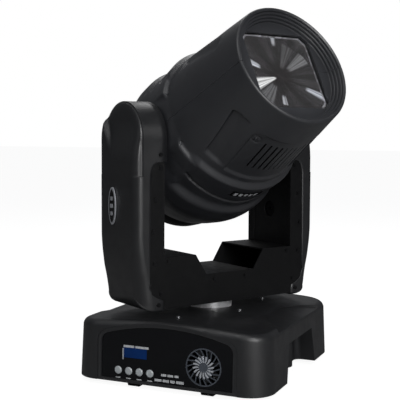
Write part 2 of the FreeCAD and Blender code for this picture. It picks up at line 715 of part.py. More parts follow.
def plate_edge(grow):
    """Half of the visible metal outline, from the bottom at the cover's tab up to the arm's top."""
    return [(f"tab_edge + {grow}", f"yoke_bottom"), (f"tab_edge + {grow}", f"tab_top - {grow}"),
            (f"tab_edge + 11 + {grow}", f"tab_top + 4 - {grow}", "24"), (f"arm_edge + {grow}", "yoke_bottom + 42"),
            (f"arm_edge + {grow}", "arm_top - 59"), (f"arm_neck + {grow}", f"arm_top - 12 + {grow}", "11"),
            (f"arm_neck - 11", f"arm_top + {grow}")]


def mirrored(points):
    """The same outline's other half, run backwards, so that the two halves join up."""
    back = []
    for i, point in reversed(list(enumerate(points))):
        radius = points[i - 1][2:] if i else ()
        back.append((negative(point[0]), point[1], *radius))
    return back


def yoke_frame_part():
    """The folded U: two face plates joined by the inner skin, with the stepped recess in the crossbar."""
    half = [*plate_edge("0"), ("arm_inner", "arm_top"), ("arm_inner", "step_top"),
            ("recess_half_top", "step_top"), ("recess_half_floor", "recess_floor")]
    body = new_body("u_frame")
    pad(body, outline(sketch_on(body, "XZ_Plane"), half + mirrored(half)), "2 * plate_half", both=True)
    hollow = [("arm_edge + wall", "yoke_bottom + gauge"), ("arm_edge + wall", "arm_top + wall"),
              ("arm_inner + gauge", "arm_top + wall"), ("arm_inner + gauge", "step_top - gauge"),
              ("recess_half_top - gauge", "step_top - gauge"), ("recess_half_floor - gauge", "recess_floor - gauge")]
    pocket(body, outline(sketch_on(body, "XZ_Plane"), hollow + mirrored(hollow)), "2 * (plate_half - gauge)", both=True)
    lugs, bores = [], []
    for sign in ("", "-"):
        inner, outer = f"{sign}arm_inner", f"{sign}(arm_inner + gauge)"
        far = f"{sign}(arm_inner + gauge + tilt_bearing_width + 1)"
        stretch = (inner, outer) if sign == "" else (outer, inner)
        reach = (inner, far) if sign == "" else (far, inner)
        lugs.append(rod("lug_radius", *stretch, "x", ("0", "tilt_height")))
        lugs.append(box(*stretch, "-lug_radius", "lug_radius", "arm_top - 5", "tilt_height"))
        lugs.append(rod("housing_radius", *reach, "x", ("0", "tilt_height")))
        mouth = (outer, far) if sign == "" else (far, outer)
        bores.append(rod("tilt_bearing_radius", f"{mouth[0]} - {0 if sign == '' else 1}",
                         f"{mouth[1]} + {1 if sign == '' else 0}", "x", ("0", "tilt_height")))
        bores.append(rod("tilt_bearing_radius - 4", f"{reach[0]} - 1", f"{reach[1]} + 1", "x", ("0", "tilt_height")))
    tube_hole = rod("tube_bore", "yoke_bottom - 1", "yoke_bottom + gauge + 1")
    holes = [rod("1.7", "-plate_half - 1", "plate_half + 1", "y", spot) for spot in plate_screw_spots()]
    pilot = "tilt_motor_size / 3 + gap"
    motor_hole = rod(pilot, "arm_inner - 1", "arm_inner + gauge + 1", "x", ("0", "tilt_motor_level"))
    keep("yoke_frame", cut(fuse(body, *lugs), tube_hole, motor_hole, *bores, *holes), yoke_frame())


def arm_flanges():
    """Thin strips riveted along the inner edges of both arms, front and rear."""
    made = []
    for low, high in (("arm_inner - 1.2", "arm_inner"), ("-arm_inner", "-arm_inner + 1.2")):
        for near, far in (("-plate_half", "-plate_half + flange_width"), ("plate_half - flange_width", "plate_half")):
            strip = box(low, high, near, far, "step_top + gap", "arm_top")
            across = f"({near} + {far}) / 2"
            holes = [rod("1.2", f"{low} - 1", f"{high} + 1", "x", (across, f"step_top + {18 + 28 * i}"))
                     for i in range(5)]
            made.append(cut(strip, *holes))
    group("arm_flanges", made, yoke_frame())


def plate_screw_spots():
    """Places of the plate's screws, as (x, z), the same on both faces."""
    right = [("138.8", "340"), ("148", "290"), ("152.5", "240"), ("149.5", "189.5"), ("123.5", "191"),
             ("137.5", "141"), ("32", "155.8")]
    return right + [(negative(x), z) for x, z in right]


def cover_tab_spots():
    return [("139.5", "361"), ("-139.5", "361"), ("143", "123.5"), ("-143", "123.5")]


def yoke_screws():
    faces = ((-1, "-plate_half"), (1, "plate_half"))
    group("yoke_screws", [screw("1.6", "4", "3.1", spot, "y", sign, face)
                          for spot in plate_screw_spots() for sign, face in faces], yoke_frame())
    proud = ((-1, "-plate_half - cover_proud"), (1, "plate_half + cover_proud"))
    group("arm_cover_screws", [screw("1.6", "5", "3.4", spot, "y", sign, face)
                               for spot in cover_tab_spots() for sign, face in proud], yoke_frame())


def arm_block(inset):
    """An arm cover's whole outside on the +X side, less inset all round: a tapering, barrel-sided slab with a
    round top about the tilt axis."""
    half, bottom = f"plate_half + cover_proud - {inset}", f"cover_bottom + {inset}"
    side, foot = f"cover_side - {inset}", f"cover_foot - {inset}"
    body = new_body("arm_front")
    start = f"cover_inner + {inset}"
    front = [(start, bottom), (foot, bottom, "cover_side_radius"), (side, "tilt_height - 125"),
             (side, "tilt_height - 50"), (f"{side} - 9", "tilt_height + 15"),
             (f"{side} - 13", "tilt_height + 70"), (start, "tilt_height + 70")]
    pad(body, outline(sketch_on(body, "XZ_Plane"), front), f"2 * ({half})", both=True)
    top = rod(half, "cover_inner - 20", "cover_side + 20", "x", ("0", "tilt_height"))
    leg = box("cover_inner - 20", "cover_side + 20", negative(half), half, f"{bottom} - 1", "tilt_height")
    limit = size(f"{foot} - 2")
    depth = size(half)

    def outer_rim(edge):
        spots = [edge.valueAt(edge.FirstParameter + t * (edge.LastParameter - edge.FirstParameter)) for t in (0.2, 0.8)]
        rims = [abs(abs(p.y) - depth) < 0.01 or
                abs(math.hypot(p.y, p.z - size("tilt_height")) - depth) < 0.01 for p in spots]
        return all(rims) and all(p.x > limit - 1 for p in spots) and middle(edge).z > size(bottom) + 1

    return rounded(common(body, fuse(top, leg)), f"cover_edge - {inset}", outer_rim)


def arm_cover(node, side):
    """A moulded shell over one arm, cut away where the metal plates show, with a round window for the trunnion."""
    window = new_body("plate_window")
    edge = plate_edge("gap")
    notch = [("cover_inner - 12", "cover_bottom - 1"), (edge[0][0], "cover_bottom - 1"), *edge[1:],
             ("cover_inner - 12", "arm_top + gap")]
    pad(window, outline(sketch_on(window, "XZ_Plane"), notch), "4 * plate_half", both=True)
    tabs = [rod("1.7", "-plate_half - wall", "plate_half + wall", "y", spot) for spot in cover_tab_spots()[::2]]
    journal = rod("trunnion_radius + 2", "cover_inner - 1", "cover_inner + wall + 1", "x", ("0", "tilt_height"))
    shell = cut(arm_block("0"), arm_block("wall"), window, journal, *tabs)
    keep(node, shell, yoke_frame() if side > 0 else half_turn(yoke_frame()))


def arm_badges():
    """A plain oval boss on the outside of each arm cover."""
    made = []
    for sign in (1, -1):
        plaque = doc.addObject("Part::Ellipse", "oval")
        bind(plaque, MajorRadius="30", MinorRadius="11")
        solid = doc.addObject("Part::Extrusion", "badge")
        solid.Base = plaque
        solid.Dir = Z_AXIS
        solid.Solid = True
        bind(solid, LengthFwd="2")
        lay = Rotation(Z_AXIS, Vector(0, -1, 0), X_AXIS, "ZXY")
        out = size("cover_side + gap") if sign > 0 else size("-cover_side - gap - 2")
        solid.Placement = Placement(Vector(out, size("badge_y"), size("badge_level")), lay)
        made.append(turned(solid, Placement()))
    group("arm_badges", made, yoke_frame())


def tilt_bearings():
    for node, side in (("right_tilt_bearing", 1), ("left_tilt_bearing", -1)):
        ring = bearing("small_bearing", "trunnion_radius", "tilt_bearing_radius", "tilt_bearing_width")
        seat = Placement(Vector(size("arm_inner + gauge"), 0, size("tilt_height")), Rotation(Y_AXIS, 90))
        frame = yoke_frame() if side > 0 else half_turn(yoke_frame())
        keep(node, ring, frame.multiply(seat))


def tilt_drive():
    """Motor on the right arm's inner skin, its pulley outboard, and the belt up to the trunnion's pulley."""
    lay = Rotation(Y_AXIS, 90)
    level = Vector(size("arm_inner + gauge"), 0, size("tilt_motor_level"))
    body = motor("tilt_motor_size", "tilt_motor_length", "2.5 + running")
    keep("tilt_motor", body, yoke_frame().multiply(Placement(level, lay)))
    small = drive_pulley("tilt_drive_radius", "2.5", "tilt_pulley_start + 1", "tilt_pulley_start + tilt_pulley_width - 1",
                         "arm_inner + gauge + 4")
    keep("tilt_motor_pulley", small,
         yoke_frame().multiply(Placement(Vector(0, 0, level.z), lay)))
    loop = belt("tilt_pulley_radius", "tilt_drive_radius", "tilt_height - tilt_motor_level", "tilt_pulley_width - 2")
    hang = Rotation(Vector(0, -1, 0), Vector(0, 0, -1), X_AXIS, "ZXY")
    spot = Vector(size("tilt_pulley_start + 1"), 0, size("tilt_height"))
    keep("tilt_belt", loop, yoke_frame().multiply(Placement(spot, hang)))


def sensor_board():
    """The tilt position board in the left arm."""
    board = box("-arm_inner - gauge - 6", "-arm_inner - gauge - 4.4", "-30", "30", "230", "310")
    legs = [rod("3", "-arm_inner - gauge - 5", "-arm_inner - gauge", "x", (y, z))
            for y in ("-26", "26") for z in ("234", "306")]
    plug = box("-arm_inner - gauge - 14", "-arm_inner - gauge - 5.5", "-20", "20", "240", "250")
    keep("sensor_board", fuse(board, plug, *legs), yoke_frame())


# ---------------------------------------------------------------- head


def head_profile(inset):
    """Half section of the head's outside as (radius, height), from the rear up to the front lip."""
    def at(radius, height):
        return (f"{radius} - {inset}", height)

    return [at(116, "shell_rear"), at(133, "-52"), at(136.8, "-22"), at(136.6, "0"), at(126, "39"), at(128.8, "46"),
            at(128.4, "66"), at(119.4, "94"), at("barrel_radius", "barrel_end")]


def head_block(inset, front, lip):
    """The turned head with its cheeks trimmed flat."""
    half_cheek = f"cheek - {inset}"
    ends = [("0", front)] + [("0", "shell_rear")]
    profile = [ends[1], *head_profile(inset), *lip, ends[0]]
    whole = revolved("head_turned", profile)
    slab = box(negative(half_cheek), half_cheek, "-cheek - 20", "cheek + 20", "shell_rear - 10", "rim_front + 10")
    return common(whole, slab)


def octagon(half, chamfer):
    near = f"({half}) - ({chamfer})"
    return [(half, negative(near)), (half, near), (near, half), (negative(near), half), (negative(half), near),
            (negative(half), negative(near)), (negative(near), negative(half)), (near, negative(half))]


def octagon_prism(half, chamfer, start, depth):
    body = new_body("octagon")
    pad(body, outline(sketch_on(body, "XY_Plane", start), octagon(half, chamfer)), depth)
    return body


def shell(node, side):
    """Half of the head's shell: barrel, ribs, cheek and the stepped ring in front of the lens."""
    lip_front = [("rim_radius", "rim_front - lip", "lip"), ("rim_radius - lip", "rim_front"),
                 ("rim_radius - lip - 2", "rim_front - 2"), ("rim_radius - 6", "lens_plane + 11"),
                 ("rim_radius - 9.5", "lens_plane + 11"), ("rim_radius - 9.5", "lens_plane + 6"),
                 ("rim_radius - 13", "lens_plane + 6"), ("rim_radius - 13", "lens_plane")]
    outside = head_block("0", "lens_plane", lip_front)
    inside = head_block("wall", "lens_plane - wall", [("rim_radius - wall + 2.5", "lens_plane - wall")])
    open_rear = rod("116 - wall", "shell_rear - 1", "shell_rear + 5")
    lens_hole = octagon_prism("lens_half", "lens_chamfer", "lens_plane - 2 * wall", "8 * wall")
    journal = rod("trunnion_radius + 3", "-cheek - 5", "cheek + 5", "x", ("0", "0"))
    way = Placement(Vector(), Rotation(Z_AXIS, 0 if side > 0 else 180))
    vent = turned(box("-vent_half", "vent_half", "60", "140", "vent_rear", "vent_front"), way)
    half = turned(box("-cheek - 20", "cheek + 20", "gap / 2", "cheek + 20", "shell_rear - 10", "rim_front + 10"), way)
    keep(node, common(cut(outside, inside, open_rear, lens_hole, journal, vent), half), head_frame())


def vent_panel(node, side):
    """A curved louvred panel a little under the shell, wider than its opening all round."""
    slope = "((barrel_radius - rim_radius) / (rim_front - lip - barrel_end))"

    def radius(height, drop):
        return f"barrel_radius - ({height} - barrel_end) * {slope} - {drop}"

    low, high = "(vent_rear - 1)", "(vent_front + 6)"
    top, bottom = "(wall + vent_drop)", "(wall + vent_drop + 2)"
    section = [(radius(low, bottom), low), (radius(low, top), low), (radius(high, top), high),
               (radius(high, bottom), high)]
    reach = "(vent_half + 4)"
    clip = box(negative(reach), reach, "50", "140", low, high)
    half_count = (DIMENSIONS["vent_slots"] - 1) // 2
    slots = [box(f"{i} * vent_pitch - vent_slot / 2", f"{i} * vent_pitch + vent_slot / 2", "50", "140",
                 "vent_rear + 13", "vent_front - 14") for i in range(-half_count, half_count + 1)]
    screw_holes = [rod("vent_screw + gap / 2", "70", "110", "y", spot) for spot in vent_screw_spots()]
    panel = cut(common(revolved("vent_band", section), clip), *slots, *screw_holes)
    keep(node, panel, head_frame() if side > 0 else half_turn(head_frame()))


def vent_screw_spots():
    return [("vent_half - 8", "vent_front - 13"), ("-(vent_half - 8)", "vent_front - 13")]


def vent_screws():
    """Socket screws in the front corners of both vent panels."""
    made = []
    for turn in (0, 180):
        for spot in vent_screw_spots():
            body = cut(rod("vent_screw", "78", "91.5", "y", spot), rod("vent_screw / 2", "89.5", "93", "y", spot))
            made.append(turned(body, Placement(Vector(), Rotation(Z_AXIS, turn))))
    group("vent_screws", made, head_frame())


def front_lens():
    """A clear octagonal pane behind the stepped ring."""
    pane = octagon_prism("lens_half + wall", "lens_chamfer", "lens_plane - wall - gap - lens_gauge", "lens_gauge")
    keep("front_lens", pane, head_frame())


def horn():
    """The mirror-finish light horn: an octagonal pyramid from the emitter to the lens."""
    body = new_body("horn")
    front = "lens_plane - wall - 2 * gap - lens_gauge"
    for kind, extra in (("PartDesign::AdditiveLoft", "1.2"), ("PartDesign::SubtractiveLoft", "0")):
        small = outline(sketch_on(body, "XY_Plane", "horn_rear"), octagon(f"horn_small + {extra}", "horn_small / 4"))
        large = outline(sketch_on(body, "XY_Plane", front), octagon(f"lens_half - 1 + {extra}", "lens_chamfer"))
        loft = body.newObject(kind, "loft")
        loft.Profile = small
        loft.Sections = [large]
        loft.Ruled = True
        doc.recompute()
    keep("horn", body, head_frame())


def head_chassis():
    """A box frame that ties both trunnions together, open above and below."""
    outer = box(negative("chassis_half_x"), "chassis_half_x", negative("chassis_half_y"), "chassis_half_y",
                negative("chassis_half_z"), "chassis_half_z")
    x, z = "(chassis_half_x - chassis_gauge)", "(chassis_half_z - chassis_gauge)"
    inner = box(negative(x), x, "-chassis_half_y - 1", "chassis_half_y + 1", negative(z), z)
    light_path = octagon_prism("chassis_half_y - 8", "chassis_half_y / 6", z, "chassis_gauge + 1")
    emitter = rod("chassis_half_y - 14", "-chassis_half_z - 1", negative(z))
    journals = rod("trunnion_bore", "-chassis_half_x - 1", "chassis_half_x + 1", "x", ("0", "0"))
    keep("head_chassis", cut(outer, inner, light_path, emitter, journals), head_frame())


def trunnions():
    """Hollow flanged shafts. The right one is longer, to carry the tilt pulley."""
    ends = {"right_trunnion": ("tilt_pulley_start + tilt_pulley_width + 2", 1),
            "left_trunnion": ("arm_inner + gauge + tilt_bearing_width + 4", -1)}
    for node, (end, side) in ends.items():
        start, fit = "chassis_half_x", "trunnion_radius - running"
        body = revolved("shaft", [("trunnion_bore", start), ("trunnion_radius + 10", start),
                                  ("trunnion_radius + 10", f"{start} + 5"), (fit, f"{start} + 5"), (fit, end),
                                  ("trunnion_bore", end)])
        keep(node, body, head_frame().multiply(Placement(Vector(), Rotation(Y_AXIS, 90 * side))))


def tilt_pulley():
    """The driven pulley on the right trunnion, with round lightening holes."""
    fit, rim = "trunnion_radius - running", "tilt_pulley_radius"
    low, high = "tilt_pulley_start", "tilt_pulley_start + tilt_pulley_width"
    body = revolved("tilt_wheel", [(fit, low), (rim, low), (rim, high), (fit, high)])
    hole = circle(sketch_on(body, "XY_Plane", high), "3.5", "tilt_pulley_radius * 0.72")
    repeat(body, pocket(body, hole, "tilt_pulley_width"), "6")
    keep("tilt_pulley", body, head_frame().multiply(Placement(Vector(), Rotation(Y_AXIS, 90))))


def heat_sink():
    """A round base on the chassis's rear plate with straight fins behind it."""
    front = "-chassis_half_z"
    base = rod("sink_radius", f"{front} - 8", front)
    pitch = "2 * (sink_radius - 6) / (sink_fins - 1)"
    fins = [box(f"-sink_radius + 5 + {i} * {pitch}", f"-sink_radius + 7 + {i} * {pitch}", "-sink_radius", "sink_radius",
                f"{front} - 8 - sink_depth", f"{front} - 4") for i in range(DIMENSIONS["sink_fins"])]
    round_off = rod("sink_radius", f"{front} - 9 - sink_depth", front)
    keep("heat_sink", common(fuse(base, *fins), round_off), head_frame())


def light_source():
    """The emitter board and the dome of the light source at the horn's small end."""
    front = "-chassis_half_z"
    board = rod("chassis_half_y - 16", front, f"{front} + 2")
    keep("emitter_board", board, head_frame())
    source = fuse(rod("9", f"{front} + 2", f"{front} + 5"), rod("6", f"{front} + 4", "horn_rear - 1"))
    keep("light_source", source, head_frame())


def rear_cap():
    """The dark cap that closes the head, with slots over the fan."""
    rear, front = "cap_rear", "shell_rear - gap"
    def section(inset, back, mouth):
        return [("0", back), (f"60 - {inset}", back), (f"66 - {inset}", f"{back} + 1.5"), (f"80 - {inset}", "-170"),
                (f"94 - {inset}", "-152"), (f"104 - {inset}", "-136"), (f"109.5 - {inset}", "-118"),
                (f"111.5 - {inset}", mouth), ("0", mouth)]
    outside = revolved("cap_outside", section("0", rear, front))
    inside = revolved("cap_inside", section("wall", f"{rear} + wall", f"{front} + 1"))
    slots = [box("-34", "34", f"{y} - 2", f"{y} + 2", f"{rear} - 1", f"{rear} + wall + 1")
             for y in ("-32", "-24", "-16", "-8", "0", "8", "16", "24", "32")]
    keep("rear_cap", cut(outside, inside, *slots), head_frame())


def head_fan():
    """The fan behind the heat sink blows out through the rear cap."""
    spot = Placement(Vector(0, 0, size("head_fan_front - head_fan_depth")), Rotation())
    keep("head_fan_frame", fan_frame("head_duct", "head_fan_size", "head_fan_depth"), head_frame().multiply(spot))
    lift = Placement(Vector(0, 0, size("head_fan_front - head_fan_depth + 3.5")), Rotation())
    keep("head_fan_rotor", fan_rotor("head_rotor", "head_fan_size", "head_fan_depth"), head_frame().multiply(lift))


# ---------------------------------------------------------------- build, check and write


def build():
    fill_sheet()
    for make in (base_cover, cover_screws, base_plate, feet, foot_screws, front_panel, buttons, display,
                 control_board, fan_grille, base_fan, rear_panel, rear_sockets, power_supply, driver_board,
                 pan_carrier, pan_bearing, pan_drive, pan_tube, pan_pulley, yoke_frame_part, yoke_screws,
                 arm_badges, tilt_bearings, arm_flanges, tilt_drive, sensor_board, front_lens, horn, head_chassis,
                 trunnions, tilt_pulley, heat_sink, light_source, rear_cap, head_fan, vent_screws):
        make()
    arm_cover("right_arm_cover", 1)
    arm_cover("left_arm_cover", -1)
    for node, side in (("upper_shell", 1), ("lower_shell", -1)):
        shell(node, side)
    for node, side in (("upper_vent_panel", 1), ("lower_vent_panel", -1)):
        vent_panel(node, side)
    doc.recompute()


def check():
    """Stops the run if any object failed or any piece's shape is empty or broken."""
    failed = [f"{o.Name} ({o.Label})" for o in doc.Objects if "Invalid" in o.State or "Error" in o.State]
    broken = [n for n, o in nodes.items() if o.Shape.isNull() or not o.Shape.isValid() or not o.Shape.Solids]
    if failed or broken:
        raise RuntimeError(f"failed objects: {failed}; broken pieces: {broken}")


def write():
    os.makedirs("parts", exist_ok=True)
    for node, obj in nodes.items():
        obj.Shape.exportStep(f"parts/{node}.step")
        print(f"{node}: {len(obj.Shape.Solids)} solid(s), {obj.Shape.Volume / 1000:.1f} cm3")


build()
check()
write()
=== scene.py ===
"""Looks of the moving head light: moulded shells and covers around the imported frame, and every finish.

Sizes are in millimetres in three local frames, turned into world metres by place():
  BASE  on the pan axis at the base cover's bottom edge, control panel facing -Y
  YOKE  the base frame turned about the pan axis, tilt axis along X, front of the arms facing -Y
  HEAD  on the tilt axis, X along it, Z along the lens axis
"""

import json
import math

import bmesh
import bpy
import numpy as np
from mathutils import Matrix, Vector


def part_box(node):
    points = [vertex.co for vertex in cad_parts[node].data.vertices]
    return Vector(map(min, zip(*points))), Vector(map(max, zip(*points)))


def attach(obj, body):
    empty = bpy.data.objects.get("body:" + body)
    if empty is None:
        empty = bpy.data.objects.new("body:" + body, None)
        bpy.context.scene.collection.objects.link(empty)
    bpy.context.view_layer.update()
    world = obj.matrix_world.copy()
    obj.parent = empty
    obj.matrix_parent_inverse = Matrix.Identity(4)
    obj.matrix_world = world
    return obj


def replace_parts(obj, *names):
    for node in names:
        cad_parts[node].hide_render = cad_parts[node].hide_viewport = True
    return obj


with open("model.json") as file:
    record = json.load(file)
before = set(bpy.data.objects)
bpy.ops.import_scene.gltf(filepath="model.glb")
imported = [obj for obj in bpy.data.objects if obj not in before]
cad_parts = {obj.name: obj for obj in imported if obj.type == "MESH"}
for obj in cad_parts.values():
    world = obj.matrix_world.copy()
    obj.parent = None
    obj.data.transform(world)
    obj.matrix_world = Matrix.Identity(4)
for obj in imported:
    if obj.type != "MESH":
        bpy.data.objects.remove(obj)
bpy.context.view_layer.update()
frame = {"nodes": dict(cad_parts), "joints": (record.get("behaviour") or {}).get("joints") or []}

MM = 0.001
UP = Vector((0, 0, 1))
joints = {joint["name"]: joint for joint in frame["joints"]}


def axes_frame(x_axis, z_axis, origin):
    """A frame with the given X and Z axes, as a 4 x 4 matrix."""
    x_axis, z_axis = Vector(x_axis).normalized(), Vector(z_axis).normalized()
    turn = Matrix((x_axis, z_axis.cross(x_axis), z_axis)).transposed()
    return Matrix.Translation(origin) @ turn.to_4x4()


BASE_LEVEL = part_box("base_cover")[0].z
PANEL_AXIS = Vector(joints["button_1_press"]["axis"])
TILT_AXIS = joints["tilt"]["axis"]
TILT_POINT = Vector(joints["tilt"]["pos_m"])
LENS_AXIS = Vector(joints["head_fan_spin"]["axis"])
LENS_AXIS = LENS_AXIS if LENS_AXIS.z > 0 else -LENS_AXIS

BASE = Matrix.Translation((0, 0, BASE_LEVEL))
YOKE = axes_frame(TILT_AXIS, UP, (0, 0, BASE_LEVEL))
HEAD = axes_frame(TILT_AXIS, LENS_AXIS, TILT_POINT)
TILT_HEIGHT = (TILT_POINT.z - BASE_LEVEL) / MM


# ------------------------ mesh helpers


def place(points, matrix):
    """Points in millimetres of a local frame, as world metres."""
    turn = np.array(matrix)
    return np.asarray(points, float) * MM @ turn[:3, :3].T + turn[:3, 3]


def smooth(low, high, value):
    """0 up to low, 1 from high on, an S curve between them. It runs the other way when low is above high."""
    share = np.clip((np.asarray(value, float) - low) / (high - low), 0, 1)
    return share * share * (3 - 2 * share)


def soft_least(value, limit, softness=1.0):
    """The smaller of the two, with a soft corner where they cross."""
    return limit - softness * np.logaddexp(0, (limit - value) / softness)


def merged(grid, exact, gap):
    """Sorted grid values with the exact ones put in, and grid values closer to one than gap left out."""
    exact = np.asarray(exact, float)
    kept = [value for value in grid if np.abs(exact - value).min() > gap]
    return np.unique(np.concatenate([kept, exact]))


def grid_faces(rows, columns, wrap_rows=False, wrap_columns=False):
    """Quads of a grid whose vertices run along a row first, each with its row and column."""
    for row in range(rows if wrap_rows else rows - 1):
        for column in range(columns if wrap_columns else columns - 1):
            below, beside = (row + 1) % rows, (column + 1) % columns
            here, under = row * columns, below * columns
            yield row, column, (here + column, here + beside, under + beside, under + column)


def add_piece(name, points, faces, matrix, body, materials, marks=None, crease=32, weld=False):
    """Makes a mesh piece from millimetre points, smooth shaded with creases, riding on a body."""
    mesh = bpy.data.meshes.new(name)
    mesh.from_pydata(place(points, matrix).tolist(), [], [list(face) for face in faces])
    if marks is not None:
        mesh.polygons.foreach_set("material_index", marks)
    edit = bmesh.new()
    edit.from_mesh(mesh)
    if weld:
        bmesh.ops.remove_doubles(edit, verts=edit.verts, dist=0.02 * MM)
    bmesh.ops.recalc_face_normals(edit, faces=edit.faces)
    edit.to_mesh(mesh)
    edit.free()
    mesh.shade_smooth()
    mesh.set_sharp_from_angle(angle=math.radians(crease))
    piece = bpy.data.objects.new(name, mesh)
    bpy.context.scene.collection.objects.link(piece)
    for entry in materials:
        mesh.materials.append(entry)
    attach(piece, body)
    return piece


def add_slab(name, outlines, thickness, matrix, body, finish, edge=0.25):
    """Thin plates on a plane: each outline is raised along the frame's Z, and its edges are broken."""
    points, faces = [], []
    for outline in outlines:
        first, count = len(points), len(outline)
        points += [(x, y, 0) for x, y in outline] + [(x, y, thickness) for x, y in outline]
        faces.append([first + i for i in reversed(range(count))])
        faces.append([first + count + i for i in range(count)])
        for i in range(count):
            after = (i + 1) % count
            faces.append([first + i, first + after, first + count + after, first + count + i])
    piece = add_piece(name, points, faces, matrix, body, [finish])
    bevel = piece.modifiers.new("edge", "BEVEL")
    bevel.width = edge * MM
    bevel.segments = 2
    piece.modifiers.new("flats", "WEIGHTED_NORMAL").keep_sharp = True
    return piece


def oval(x_half, y_half, count=48):
    turns = [2 * math.pi * i / count for i in range(count)]
    return [(x_half * math.cos(turn), y_half * math.sin(turn)) for turn in turns]


def bar(x0, x1, y0, y1, radius=0.5, steps=4):
    """A rectangle with round corners."""
    corners = [(x1 - radius, y1 - radius), (x0 + radius, y1 - radius), (x0 + radius, y0 + radius),
               (x1 - radius, y0 + radius)]
    outline = []
    for quarter, (x, y) in enumerate(corners):
        for step in range(steps + 1):
            turn = math.pi / 2 * (quarter + step / steps)
            outline.append((x + radius * math.cos(turn), y + radius * math.sin(turn)))
    return outline


# ------------------------ material helpers


def add_node(tree, kind, output, values=None, links=None, **settings):
    """Adds a node with settings, input values and links, and returns its named output."""
    node = tree.nodes.new(kind)
    for key, value in settings.items():
        setattr(node, key, value)
    for key, value in (values or {}).items():
        node.inputs[key].default_value = value
    for key, source in (links or {}).items():
        tree.links.new(source, node.inputs[key])
    return node.outputs[output]


class Finish:
    """A procedural material: a principled surface and short calls that add detail to it."""

    def __init__(self, name, colour, roughness, metallic=0.0):
        self.material = bpy.data.materials.new(name)
        self.material.use_nodes = True
        self.tree = self.material.node_tree
        self.surface = self.tree.nodes["Principled BSDF"]
        self.surface.inputs["Metallic"].default_value = metallic
        self.colour = self.constant(colour)
        self.roughness = None
        self.base_roughness = roughness
        self.height = None
        self.coordinates = self.tree.nodes.new("ShaderNodeTexCoord").outputs["Object"]

    def node(self, kind, output, values=None, links=None, **settings):
        return add_node(self.tree, "ShaderNode" + kind, output, values, links, **settings)

    def constant(self, colour):
        output = self.node("RGB", 0)
        output.default_value = (*colour, 1)
        return output

    def seen_from(self, matrix):
        """Takes coordinates from a local frame, in metres."""
        spot = {"Location": matrix.to_translation(), "Rotation": matrix.to_euler()}
        links = {"Vector": self.coordinates}
        self.coordinates = self.node("Mapping", "Vector", spot, links, vector_type="TEXTURE")
        return self

    def round_axis(self):
        """Goes from 0 to 1 once round the local Z axis."""
        return self.node("TexGradient", "Fac", {}, {"Vector": self.coordinates}, gradient_type="RADIAL")

    def distance(self):
        """Distance from the local Z axis."""
        return self.node("VectorMath", "Value", {}, {0: self.scaled((1, 1, 0))}, operation="LENGTH")

    def scaled(self, scale):
        return self.node("Mapping", "Vector", {"Scale": scale}, {"Vector": self.coordinates})

    def streaks(self, value, scale, detail=4.0):
        """Noise along one value."""
        values = {"Scale": scale, "Detail": detail}
        return self.node("TexNoise", "Fac", values, {"W": value}, noise_dimensions="1D")

    def noise(self, scale, detail=3.0, stretch=(1, 1, 1)):
        values = {"Scale": scale, "Detail": detail}
        return self.node("TexNoise", "Fac", values, {"Vector": self.scaled(stretch)})

    def cells(self, scale):
        return self.node("TexVoronoi", "Distance", {"Scale": scale}, {"Vector": self.coordinates})

    def wave(self, scale, direction, distortion=0.0):
        values = {"Scale": scale, "Distortion": distortion}
        return self.node("TexWave", "Fac", values, {"Vector": self.coordinates}, bands_direction=direction)

    def pointiness(self):
        return self.node("NewGeometry", "Pointiness")

    def ramp(self, value, low, high, out_low=0.0, out_high=1.0):
        limits = {"From Min": low, "From Max": high, "To Min": out_low, "To Max": out_high}
        return self.node("MapRange", "Result", limits, {"Value": value})

    def product(self, first, second):
        return self.node("Math", 0, {}, {0: first, 1: second}, operation="MULTIPLY")

    def window(self, value, low, high, soft_low, soft_high):
        """1 from low to high, fading to 0 over the soft widths outside them."""
        return self.product(self.ramp(value, low - soft_low, low), self.ramp(value, high + soft_high, high))

    def blend(self, under, mask, colour):
        """The colour where mask is 1, and what lies under it where mask is 0."""
        return self.node("Mix", "Result", {"B": (*colour, 1)}, {"Factor": mask, "A": under}, data_type="RGBA")

    def tint(self, mask, colour):
        self.colour = self.blend(self.colour, mask, colour)
        return self

    def shine(self, level):
        """Scales the surface's mirror share, which is 0.5 for plain plastic."""
        self.surface.inputs["Specular IOR Level"].default_value = level
        return self

    def glow(self, colour, strength):
        self.tree.links.new(colour, self.surface.inputs["Emission Color"])
        self.surface.inputs["Emission Strength"].default_value = strength
        return self

    def gloss(self, value, low, high, dull, shiny):
        self.roughness = self.ramp(value, low, high, dull, shiny)
        return self

    def bump(self, value, depth):
        """Adds a bump of the given depth in millimetres."""
        links = {"Height": value}
        if self.height is not None:
            links["Normal"] = self.height
        self.height = self.node("Bump", "Normal", {"Strength": 1.0, "Distance": depth * MM}, links)
        return self

    def done(self):
        self.tree.links.new(self.colour, self.surface.inputs["Base Color"])
        if self.roughness is None:
            self.surface.inputs["Roughness"].default_value = self.base_roughness
        else:
            self.tree.links.new(self.roughness, self.surface.inputs["Roughness"])
        if self.height is not None:
            self.tree.links.new(self.height, self.surface.inputs["Normal"])
        return self.material


def moulded(name, colour, roughness, grain=1400.0, depth=0.035, specular=0.95):
    """Moulded plastic: fine spark-eroded grain, slow mottling, edges a little lighter, partly from rubbed
    wear and partly as a painted edge highlight.
    """
    colour = tuple(colour)
    finish = Finish(name, colour, roughness)
    finish.shine(specular)
    finish.tint(finish.ramp(finish.noise(14, 4), 0.35, 0.75, 0, 0.45), [c * 0.72 for c in colour])
    # Convex edges lighter: partly rubbed wear, partly a painted highlight where light catches them.
    finish.tint(finish.ramp(finish.pointiness(), 0.53, 0.62, 0, 0.5), [c * 1.9 + 0.004 for c in colour])
    finish.gloss(finish.noise(40, 5), 0.3, 0.7, roughness - 0.05, roughness + 0.07)
    finish.bump(finish.noise(grain, 2), depth)
    return finish.done()


